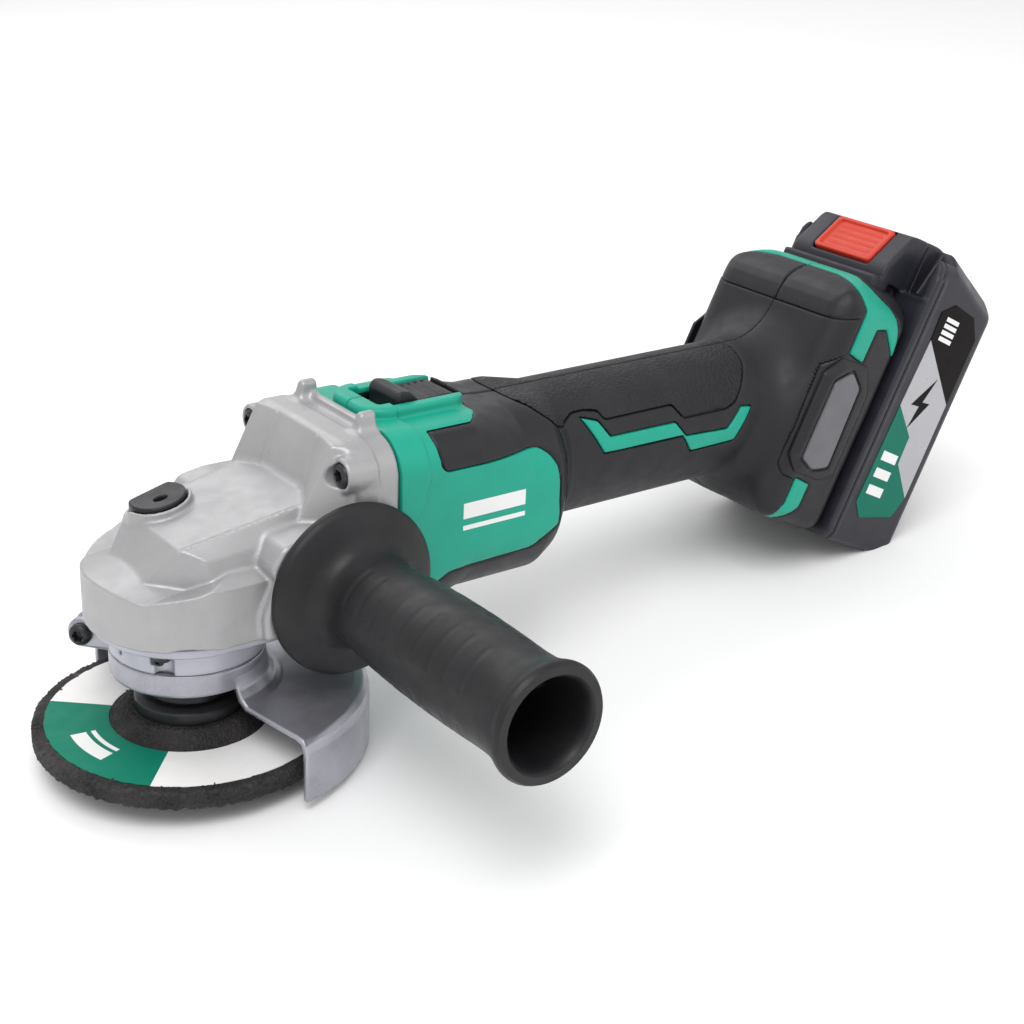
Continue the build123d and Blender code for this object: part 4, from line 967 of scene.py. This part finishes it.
def make_marks():
    """Plain bars and a bolt sign where the tool carries its printing, with no lettering."""
    bars = [rectangle(83.0, 66.4, 25.0, 5.4), rectangle(83.0, 62.4, 25.0, 1.6)]
    gauge = [rectangle(15.5, 86.5 + 2.6 * k, 8.0, 1.7) for k in range(4)]
    gauge += [rectangle(13.0, 22.0 + 7.0 * k, 9.5, 3.8) for k in range(3)]
    bolt = [(20, 51), (27, 63), (22.5, 62.5), (25.5, 73), (16.5, 60), (21.5, 60.5)]
    for sign, side in SIDES:
        def on_case(u, v, out):
            return u, sign * (CASE_HALF + out), v

        def on_film(t, s, out):
            return from_pack(t, sign * (PACK_HALF + 0.3 + out), s)

        for name, body, material, outlines, place in (
                ("panel_mark_", "tool", MARK_WHITE, bars, on_case),
                ("label_gauge_", "battery", MARK_WHITE, gauge, on_film),
                ("label_bolt_", "battery", FILM_BLACK, [bolt], on_film)):
            plates(name + side, body, [material], outlines, place, MARK_LOW, MARK_HIGH,
                   sign > 0)

    def on_wheel(angle, r, out):
        a = math.radians(angle)
        return r * math.cos(a), r * math.sin(a), PAPER_TOP + out

    edge = np.linspace(171, 199, 13)
    arcs = [[(a, inner) for a in edge] + [(a, outer) for a in edge[::-1]]
            for inner, outer in ((34.0, 39.0), (31.0, 32.5))]
    plates("wheel_mark", "spindle", [MARK_WHITE], arcs, on_wheel, MARK_LOW, MARK_HIGH, True)

# ---- switch
def make_switch():
    profile = [(72.6, 95), (72.6, 102.0), (74.6, 104), (78.6, 103.2), (81.6, 100.0), (94, 100.4),
               (96.6, 99.4), (96.6, 95)]

    def knob(x, y, z):
        body = common(outline(soft(profile, 1.2), x, z), np.abs(y) - 8.7, 1.0)
        for number in range(4):
            groove = np.hypot(x - 84.8 - 2.6 * number, z - 100.3 - 0.08 * number) - 0.75
            body = cut(body, meet(groove, np.abs(y) - 7.0), 0.3)
        skirt = common(box2(x - 86.5, y, 15.4, 10.9, 1.0), between(z, 92.7, 94.2), 0.3)
        neck = meet(box2(x - 84.6, y, 11.0, 3.3, 0.8), between(z, 93.5, 97.0))
        return join(join(meet(body, 96.4 - z), skirt), neck)

    def floor(x, y, z):
        plate = meet(box2(x - 81.3, y, 16.4, 9.7, 0.4), between(z, 94.8, 96.2))
        return meet(plate, -meet(np.abs(y) - 3.6, 66.5 - x))

    sculpt("switch_floor", "tool", GREEN, floor, (64, -10, 94), (98, 10, 97), 0.4,
           [], 0.4)
    low, high = (70.5, -11, 92.5), (102.5, 11, 104.2)
    sculpt("switch_button", "switch_slider", BLACK, knob, low, high, 0.4,
           ["switch_knob"], 0.4)

# ---- stage
LIGHTS = (("key", (-0.5, -0.5, 1.3), 0.9, 11.0), ("fill", (0.9, -1.0, 0.8), 1.2, 2.5),
          ("rim", (0.2, 1.0, 1.0), 1.0, 4.5))
LIGHT_AIM = (0.13, 0, 0.06)
FLOOR_X, FLOOR_Z, FLOOR_REACH, FLOOR_FALL = 0.058, -0.0032, 6.0, math.radians(3.6)
CAMERA_AT, CAMERA_LENS = (-0.23075, -0.46776, 0.29683), 63.457
CAMERA_AZIMUTH, CAMERA_ELEVATION, CAMERA_ROLL = -37.481, 22.9645, 2.4308

def make_floor():
    """A pale floor, level with the guard's and the battery's lowest edges."""
    along, rise = FLOOR_REACH * math.cos(FLOOR_FALL), FLOOR_REACH * math.sin(FLOOR_FALL)
    corners = [(FLOOR_X + u * along, v * FLOOR_REACH, FLOOR_Z + u * rise)
               for u, v in ((-1, -1), (1, -1), (1, 1), (-1, 1))]
    mesh = bpy.data.meshes.new("floor")
    mesh.from_pydata(corners, [], [(0, 1, 2, 3)])
    floor = bpy.data.objects.new("floor", mesh)
    scene.collection.objects.link(floor)
    mesh.materials.append(finish("floor_paper", (0.96, 0.96, 0.96), 0.8, 0, 2.0, 0.01, 0.005))

def make_lights():
    """An even white surround and three soft lamps."""
    world = bpy.data.worlds.new("studio")
    world.use_nodes = True
    world.node_tree.nodes["Background"].inputs["Color"].default_value = (1, 1, 1, 1)
    world.node_tree.nodes["Background"].inputs["Strength"].default_value = 0.78
    scene.world = world
    for name, spot, size, power in LIGHTS:
        data = bpy.data.lights.new(name, "AREA")
        data.size = size
        data.energy = power
        lamp = bpy.data.objects.new(name, data)
        aim = Vector(LIGHT_AIM) - Vector(spot)
        lamp.matrix_world = Matrix.Translation(spot) @ aim.to_track_quat("-Z", "Y").to_matrix().to_4x4()
        scene.collection.objects.link(lamp)
    scene.view_settings.view_transform = "Standard"

def make_camera():
    azimuth, elevation = math.radians(CAMERA_AZIMUTH), math.radians(CAMERA_ELEVATION)
    roll = math.radians(CAMERA_ROLL)
    back = Vector((math.sin(azimuth) * math.cos(elevation), -math.cos(azimuth) * math.cos(elevation),
                   math.sin(elevation)))
    flat = Vector((math.cos(azimuth), math.sin(azimuth), 0))
    above = back.cross(flat)
    right = flat * math.cos(roll) + above * math.sin(roll)
    up = back.cross(right)
    view = Matrix((right, up, back)).transposed().to_4x4()
    data = bpy.data.cameras.new("camera")
    data.lens, data.sensor_width = CAMERA_LENS, 36.0
    data.clip_start, data.clip_end = 0.01, 50
    camera = bpy.data.objects.new("camera", data)
    camera.matrix_world = Matrix.Translation(CAMERA_AT) @ view
    scene.collection.objects.link(camera)
    scene.camera = camera

def main():
    dress_cad_nodes()
    make_floor()
    make_lights()
    make_camera()
    make_head()
    make_lock_button()
    make_all_screws()
    make_bearing_box()
    make_guard()
    make_wheel()
    make_wheel_paper()
    make_flange()
    make_handle()
    make_housing()
    make_badges()
    make_battery()
    make_labels()
    make_marks()
    make_switch()

main()
